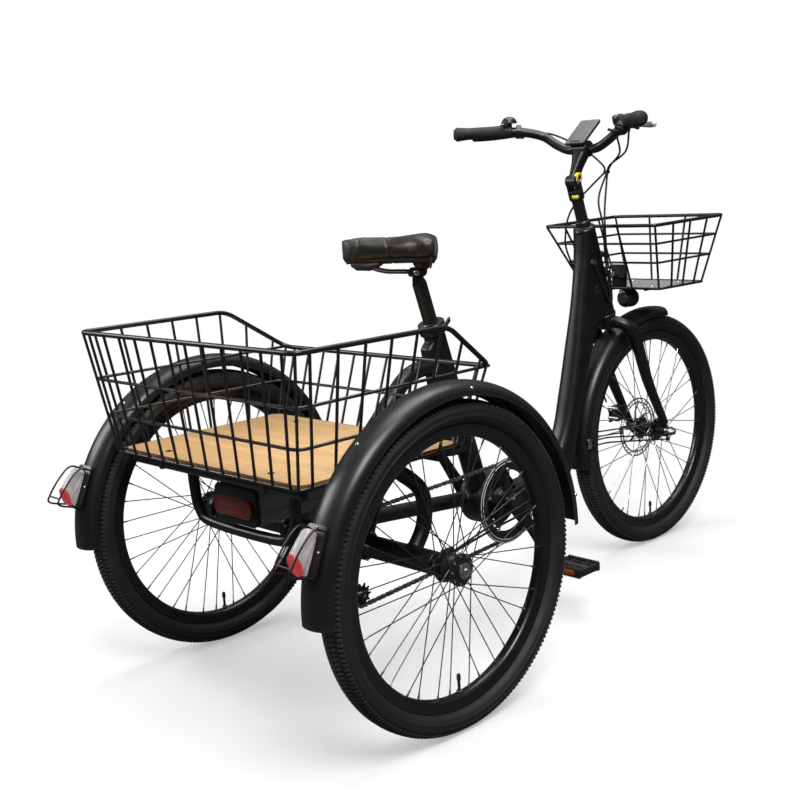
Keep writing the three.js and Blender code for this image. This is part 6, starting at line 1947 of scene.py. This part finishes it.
def crankset():
    """The spindle and two tapered crank arms with fluted faces and dust caps."""
    piece = Piece("crank_arms")
    piece.add(rod(BRACKET - X * 0.080, BRACKET + X * 0.080, 0.0095, 24), STEEL)
    for side, name in ((1, "pedal_left_spin"), (-1, "pedal_right_spin")):
        root, tip = BRACKET + X * side * 0.0795, pivot(name)
        way = (tip - root).normalized()
        across = way.cross(X).normalized()
        depth = across.cross(way).normalized()
        rings = []
        for t in np.linspace(0, 1, 12):
            wide = float(np.interp(t, [0, 0.12, 0.5, 0.9, 1], [0.0165, 0.0150, 0.0120, 0.0118, 0.0125]))
            thick = float(np.interp(t, [0, 0.15, 1], [0.0085, 0.0080, 0.0062]))
            rings.append(oval(root.lerp(tip, t), depth * thick, across * wide, 3.4, 28))
        piece.add(skin(rings), SATIN)
        piece.add(lathe([(-0.0090, 0.0092), (-0.0090, 0.0175), (-0.0070, 0.0190), (0.0060, 0.0190),
                         (0.0082, 0.0172), (0.0082, 0.0110), (0.0070, 0.0100), (0.0070, 0.0092)], root, X * side,
                        40, loop=True), SATIN)
        piece.add(lathe([(0.004, 0), (0.004, 0.0106), (0.0076, 0.0106), (0.0084, 0.0090), (0.0084, 0)],
                        root, X * side, 32), PLASTIC)
        piece.add(lathe([(-0.0066, 0), (-0.0066, 0.0125), (-0.0055, 0.0138), (0.0055, 0.0138), (0.0066, 0.0125),
                         (0.0066, 0)], tip, X, 36), SATIN)
    piece.build("crank", "crankset", slot="satin_steel")


def pedal(name, side):
    """A platform pedal: axle, cage with teeth, cross webs and an amber reflector on each face."""
    hinge = pivot(f"pedal_{name}_spin")
    piece = Piece(f"platform_pedal_{name}")
    inner, outer = 0.018, 0.109
    reach, half = 0.037, 0.0100

    def place(x, y, z):
        return hinge + Vector((side * x, y, z))

    piece.add(rod(place(0.009, 0, 0), place(0.100, 0, 0), 0.0065, 24, 0.0055), STEEL)
    piece.add(rod(place(0.0085, 0, 0), place(0.0135, 0, 0), 0.0085, 6), STEEL)
    piece.add(rod(place(inner, 0, 0), place(0.106, 0, 0), 0.0105, 28, 0.0095), PLASTIC)

    def bar(x0, x1, y0, y1, z0, z1, look=PLASTIC, bevel=0.0018):
        low = place(min(x0, x1), y0, z0)
        high = place(max(x0, x1), y1, z1)
        ends = sorted((low.x, high.x))
        piece.add(block((ends[0], low.y, low.z), (ends[1], high.y, high.z), bevel), look)

    for y in (-reach, reach - 0.006):
        bar(inner + 0.004, outer, y, y + 0.006, -half, half)
    for x in (inner, 0.045, 0.078, outer - 0.006):
        bar(x, x + 0.0055, -reach + 0.004, reach - 0.004, -half * 0.86, half * 0.86)
    for y in (-reach * 0.55, reach * 0.55):
        bar(inner + 0.004, outer - 0.004, y - 0.0022, y + 0.0022, -half * 0.75, half * 0.75)
    for y in (-reach, reach):
        face = 1 if y > 0 else -1
        mid = y + face * 0.0002
        bar(0.036, 0.092, mid - 0.0022, mid + 0.0012, -0.0058, 0.0058, AMBER, 0.0010)
        for i in range(11):
            x = inner + 0.008 + i * (outer - inner - 0.014) / 10
            for z in (-half, half):
                piece.add(block(place(x, y - face * 0.003, z) - Vector((0.0024, 0.0026, 0.0014)),
                                place(x, y - face * 0.003, z) + Vector((0.0024, 0.0026, 0.0014)), 0.0006), PLASTIC)
    piece.build(f"{name}_pedal", f"pedal_{name}", slot="pedal_plastic")


def cassette():
    """The stacked sprockets on the axle, with spacers and a lock ring."""
    piece = Piece("rear_cassette")
    low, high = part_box("cassette")
    centre = Vector((CHAIN_X, REAR_AXLE.y, REAR_AXLE.z))
    teeth = (14, 16, 18, 20, 21, 22, 22)
    step = 0.0052
    for i, count in enumerate(teeth):
        spot = centre + X * (i - 2) * step * -1
        if spot.x < low.x + 0.003 or spot.x > high.x:
            continue
        piece.add(toothed(count, -0.0009, 0.0009, spot, 0.017), STEEL)
        piece.add(lathe([(0.0010, 0.017), (0.0010, 0.0225), (step - 0.001, 0.0225), (step - 0.001, 0.017)],
                        spot, X, 32, loop=True), HUB)
    edge = high.x
    for radius, x0, x1 in ((0.0215, low.x + 0.002, edge - 0.002), (0.0300, edge - 0.040, edge - 0.008)):
        along0, along1 = x0 - REAR_AXLE.x, x1 - REAR_AXLE.x
        piece.add(lathe([(along0, 0.0096), (along0, radius - 0.001), (along0 + 0.001, radius),
                         (along1 - 0.001, radius), (along1, radius - 0.001), (along1, 0.0096)],
                        REAR_AXLE, X, 40, loop=True), HUB)
    piece.build("rear_sprockets", "cassette", slot="chain_steel")


def jockey(name, body, node):
    """A small plastic chain wheel with a steel bush."""
    spot = pivot(name)
    piece = Piece(f"{node}_wheel")
    piece.add(toothed(JOCKEY_TEETH, -0.0014, 0.0014, spot, 0.0075), PLASTIC)
    piece.add(lathe([(-0.0035, 0.0045), (-0.0035, 0.0078), (0.0035, 0.0078), (0.0035, 0.0045)], spot, X, 28,
                    loop=True), STEEL)
    piece.build(body, node, slot="satin_steel")


def derailleur():
    """The hanger, body and cage of the rear derailleur."""
    upper, lower = pivot("upper_jockey_spin"), pivot("lower_jockey_spin")
    low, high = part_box("derailleur_cage")
    cage = Piece("derailleur_cage_plates")
    way = (lower - upper).normalized()
    across = X.cross(way)
    for x in (low.x + 0.0011, high.x - 0.0011):
        rings = []
        for shift in (-0.0010, 0.0010):
            base = Vector((x + shift, 0, 0))
            ring = []
            for k in range(13):
                a = math.pi * k / 12
                ring.append(base + Vector((0, upper.y, upper.z)) + across * (0.0125 * math.cos(a))
                            - way * (0.0125 * math.sin(a)))
            ring.append(base + Vector((0, 0, 0)) + Vector((0, (upper.y + lower.y) / 2, (upper.z + lower.z) / 2))
                        - across * 0.0075)
            for k in range(13):
                a = math.pi + math.pi * k / 12
                ring.append(base + Vector((0, lower.y, lower.z)) + across * (0.0110 * math.cos(a))
                            - way * (0.0110 * math.sin(a)))
            ring.append(base + Vector((0, (upper.y + lower.y) / 2, (upper.z + lower.z) / 2)) + across * 0.0075)
            rings.append(ring)
        cage.add(skin(rings), SATIN)
    for spot in (upper, lower):
        cage.add(rod(Vector((low.x + 0.001, spot.y, spot.z)), Vector((high.x - 0.001, spot.y, spot.z)), 0.0040, 16),
                 STEEL)
        bolt(cage, Vector((low.x + 0.0006, spot.y, spot.z)), -X, 0.0042)
    cage.build("frame", "derailleur_cage", slot="satin_steel")
    low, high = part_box("derailleur_body")
    body = Piece("derailleur_linkage")
    knuckle = Vector((-0.033, upper.y, upper.z))
    body.add(lathe([(-0.010, 0), (-0.010, 0.0110), (-0.008, 0.0120), (0.008, 0.0120), (0.010, 0.0105), (0.010, 0)],
                   knuckle, X, 32), SATIN)
    joint = Vector((-0.020, REAR_AXLE.y - 0.062, 0.259))
    for shift in (-0.005, 0.005):
        body.add(tube([knuckle + Vector((0.002, 0, shift)), joint + Vector((0, 0, shift))], (0.0046, 0.0052), 16), SATIN)
    body.add(lathe([(-0.008, 0), (-0.008, 0.0100), (0.008, 0.0100), (0.008, 0)], joint, X, 28), SATIN)
    hanger = Vector((0.013, REAR_AXLE.y - 0.066, 0.271))
    body.add(tube([joint, hanger], (0.0078, 0.0070), 18), SATIN)
    bolt(body, joint - X * 0.008, -X, 0.0050)
    bolt(body, knuckle - X * 0.010, -X, 0.0045)
    body.build("frame", "derailleur_body", slot="satin_steel")


def add_drive():
    crankset()
    chainring()
    pedal("left", 1)
    pedal("right", -1)
    chain()
    cassette()
    jockey("upper_jockey_spin", "upper_jockey", "jockey_upper")
    jockey("lower_jockey_spin", "lower_jockey", "jockey_lower")
    derailleur()


# Cables.


def cable(name, points, radius, body, other=None, look=None):
    """A housed cable on one body, or, where it runs between two bodies that share a joint, on no body with its place
    baked in.
    """
    piece = Piece(name)
    path = curve(points, 12)
    piece.add(tube(path, radius, 12), look or PLASTIC)
    obj = piece.build(None if other else body)
    if other:
        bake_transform(obj)
    return obj


def add_cables():
    """Brake, shift and switch cables from the bar to the frame and the front brake."""
    gather = Vector((-0.012, -0.4356, 0.9845))
    left = LEVER_START
    right = Vector((-left.x, left.y, left.z))
    drops = (Vector((-0.003, 0.003, 0.0)), Vector((-0.0005, -0.003, 0.0)), Vector((0.0035, 0.001, 0.0)))
    begins = (right, right + Vector((0.022, 0.022, -0.004)))
    for name, begin, drop in zip(("brake_cable_right", "shift_cable"), begins, drops):
        end = gather + drop
        points = [begin, begin + Vector((0.024, -0.012, -0.008)), begin.lerp(end, 0.5) + Vector((0, -0.022, -0.004)),
                  end + Vector((-0.016, 0.006, 0.018)), end]
        cable(name, points, 0.0024, "bars", "steering")
    end = gather + drops[2]
    points = [left, left + Vector((-0.036, -0.016, -0.004)), Vector((0.066, BAR_CENTRE.y - 0.050, 1.060)),
              Vector((0.024, BAR_CENTRE.y - 0.066, 1.030)), end + Vector((0.004, 0.002, 0.016)), end]
    cable("front_brake_cable_upper", points, 0.0024, "bars", "steering")
    caliper_low, caliper_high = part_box("brake_caliper")
    low_end = Vector((pivot("pad_arm_swing").x + 0.002, caliper_high.y - 0.004, caliper_high.z + 0.004))
    down = [end, Vector((0.022, -0.410, 0.948)), Vector((0.038, -0.382, 0.918)), Vector((0.046, -0.356, 0.884)),
            Vector((0.050, -0.346, 0.840)), Vector((0.052, -0.356, 0.790)), on_head(0.020, 0.053, 0.018),
            on_head(-0.080, 0.080, 0.026), Vector((0.078, FRONT_AXLE.y + 0.120, 0.470)), low_end]
    cable("front_brake_cable", down, 0.0024, "steering")
    clip_piece = Piece("cable_clip")
    clip_piece.add(block(gather - Vector((0.0065, 0.0065, 0.0045)), gather + Vector((0.0065, 0.0065, 0.0045)),
                         0.0025), PLASTIC)
    clip_piece.build("steering")
    for i, (drop, bow) in enumerate(((drops[0], Vector((-0.018, -0.392, 0.920))),
                                     (drops[1], Vector((-0.022, -0.412, 0.905))))):
        shift = -0.004 + 0.008 * i
        low = on_head(0.150, -0.0300, 0.018 + shift)
        points = [gather + drop, bow, on_head(HEAD_LENGTH - 0.012, -0.034, 0.034 + shift), low]
        cable(f"cable_bundle_{i}", points, 0.0024, "steering", "frame")
        down = [low, on_head(0.090, -0.0295, 0.012 + shift), on_head(0.040, -0.0290, -0.004 + shift * 0.5),
                back(0.892, 0.770, -0.0272)]
        cable(f"cable_down_{i}", down, 0.0024, "frame")
    guide = Piece("cable_guide")
    spot = on_head(0.120, -0.0300, 0.012)
    guide.add(block(spot - Vector((0.004, 0.012, 0.010)), spot + Vector((0.003, 0.012, 0.010)), 0.003), PLASTIC)
    bolt(guide, spot - X * 0.004, -X, 0.0035)
    entry = back(0.892, 0.770, -0.0262)
    guide.add(lathe([(-0.002, 0), (-0.002, 0.0105), (0.002, 0.0100), (0.004, 0.0075), (0.004, 0)], entry,
                    Vector((-1, 0, 0.6)).normalized(), 28), PLASTIC)
    guide.build("frame")


LEVER_START = pivot("brake_lever_left_pull") - GRIP_WAY * 0.032 + Vector((0, -0.004, 0))


# Stage.

CAMERA_PLACE = (-1.7593, 2.0016, 0.9897)
CAMERA_AZIMUTH, CAMERA_ELEVATION, CAMERA_ROLL = -44.038, -10.473, -3.167
CAMERA_LENS = 53.16


def area_light(name, place, target, size, power, colour=(1, 1, 1)):
    """A soft square light that faces a point."""
    lamp = bpy.data.lights.new(name, "AREA")
    lamp.shape, lamp.size, lamp.energy, lamp.color = "SQUARE", size, power, colour
    obj = bpy.data.objects.new(name, lamp)
    obj.location = place
    obj.rotation_euler = (Vector(target) - Vector(place)).to_track_quat("-Z", "Y").to_euler()
    bpy.context.scene.collection.objects.link(obj)
    return obj


def backdrop():
    """A white sky for the camera and a dimmer, top-lit one for the reflections."""
    world = bpy.data.worlds.new("studio")
    bpy.context.scene.world = world
    world.use_nodes = True
    nodes, links = world.node_tree.nodes, world.node_tree.links
    nodes.clear()
    out = nodes.new("ShaderNodeOutputWorld")
    mix = nodes.new("ShaderNodeMixShader")
    seen, lit = nodes.new("ShaderNodeBackground"), nodes.new("ShaderNodeBackground")
    seen.inputs["Color"].default_value, seen.inputs["Strength"].default_value = (1, 1, 1, 1), 1.0
    lit.inputs["Strength"].default_value = 0.20
    height = nodes.new("ShaderNodeSeparateXYZ")
    links.new(nodes.new("ShaderNodeTexCoord").outputs["Generated"], height.inputs[0])
    shade = nodes.new("ShaderNodeValToRGB")
    shade.color_ramp.elements[0].position, shade.color_ramp.elements[1].position = 0.0, 0.9
    shade.color_ramp.elements[0].color, shade.color_ramp.elements[1].color = (0.15, 0.15, 0.15, 1), (2, 2, 2, 1)
    links.new(height.outputs["Z"], shade.inputs[0])
    links.new(shade.outputs[0], lit.inputs["Color"])
    path = nodes.new("ShaderNodeLightPath")
    links.new(path.outputs["Is Camera Ray"], mix.inputs[0])
    links.new(lit.outputs[0], mix.inputs[1])
    links.new(seen.outputs[0], mix.inputs[2])
    links.new(mix.outputs[0], out.inputs["Surface"])


def camera():
    """The main camera, matched to a three-quarter view from behind the right side."""
    azimuth, elevation, roll = (math.radians(a) for a in (CAMERA_AZIMUTH, CAMERA_ELEVATION, CAMERA_ROLL))
    ahead = Vector((math.cos(elevation) * math.cos(azimuth), math.cos(elevation) * math.sin(azimuth),
                    math.sin(elevation)))
    right = ahead.cross(Z).normalized()
    up = right.cross(ahead)
    side = right * math.cos(roll) + up * math.sin(roll)
    top = up * math.cos(roll) - right * math.sin(roll)
    data = bpy.data.cameras.new("camera")
    data.lens, data.sensor_width, data.clip_end = CAMERA_LENS, 36, 100
    obj = bpy.data.objects.new("camera", data)
    turn = Matrix((side, top, -ahead)).transposed().to_4x4()
    obj.matrix_world = Matrix.Translation(CAMERA_PLACE) @ turn
    bpy.context.scene.collection.objects.link(obj)
    bpy.context.scene.camera = obj


def floor():
    """A large pale floor under the wheels."""
    piece = Piece("studio_floor")
    half = 14.0
    piece.add(skin([[Vector((-half, -half, 0)), Vector((half, -half, 0)), Vector((half, half, 0)),
                     Vector((-half, half, 0))]], caps=False), pale_floor())
    piece.points = [(-half, -half, 0), (half, -half, 0), (half, half, 0), (-half, half, 0)]
    piece.faces, piece.looks = [(0, 1, 2, 3)], [0]
    obj = piece.build(None)


def add_stage():
    floor()
    backdrop()
    area_light("key_light", (-2.0, 1.6, 3.6), (0, 0, 0.4), 1.8, 130)
    area_light("fill_light", (3.0, 2.4, 2.4), (0, 0.2, 0.4), 1.6, 60)
    area_light("top_light", (0.2, -0.6, 3.8), (0, 0, 0.3), 2.4, 90)
    camera()
    bpy.context.scene.view_settings.view_transform = "Standard"


add_wheels()
add_fenders()
main_frame()
add_steering()
add_cables()
add_seat()
add_cargo()
add_drive()
add_stage()
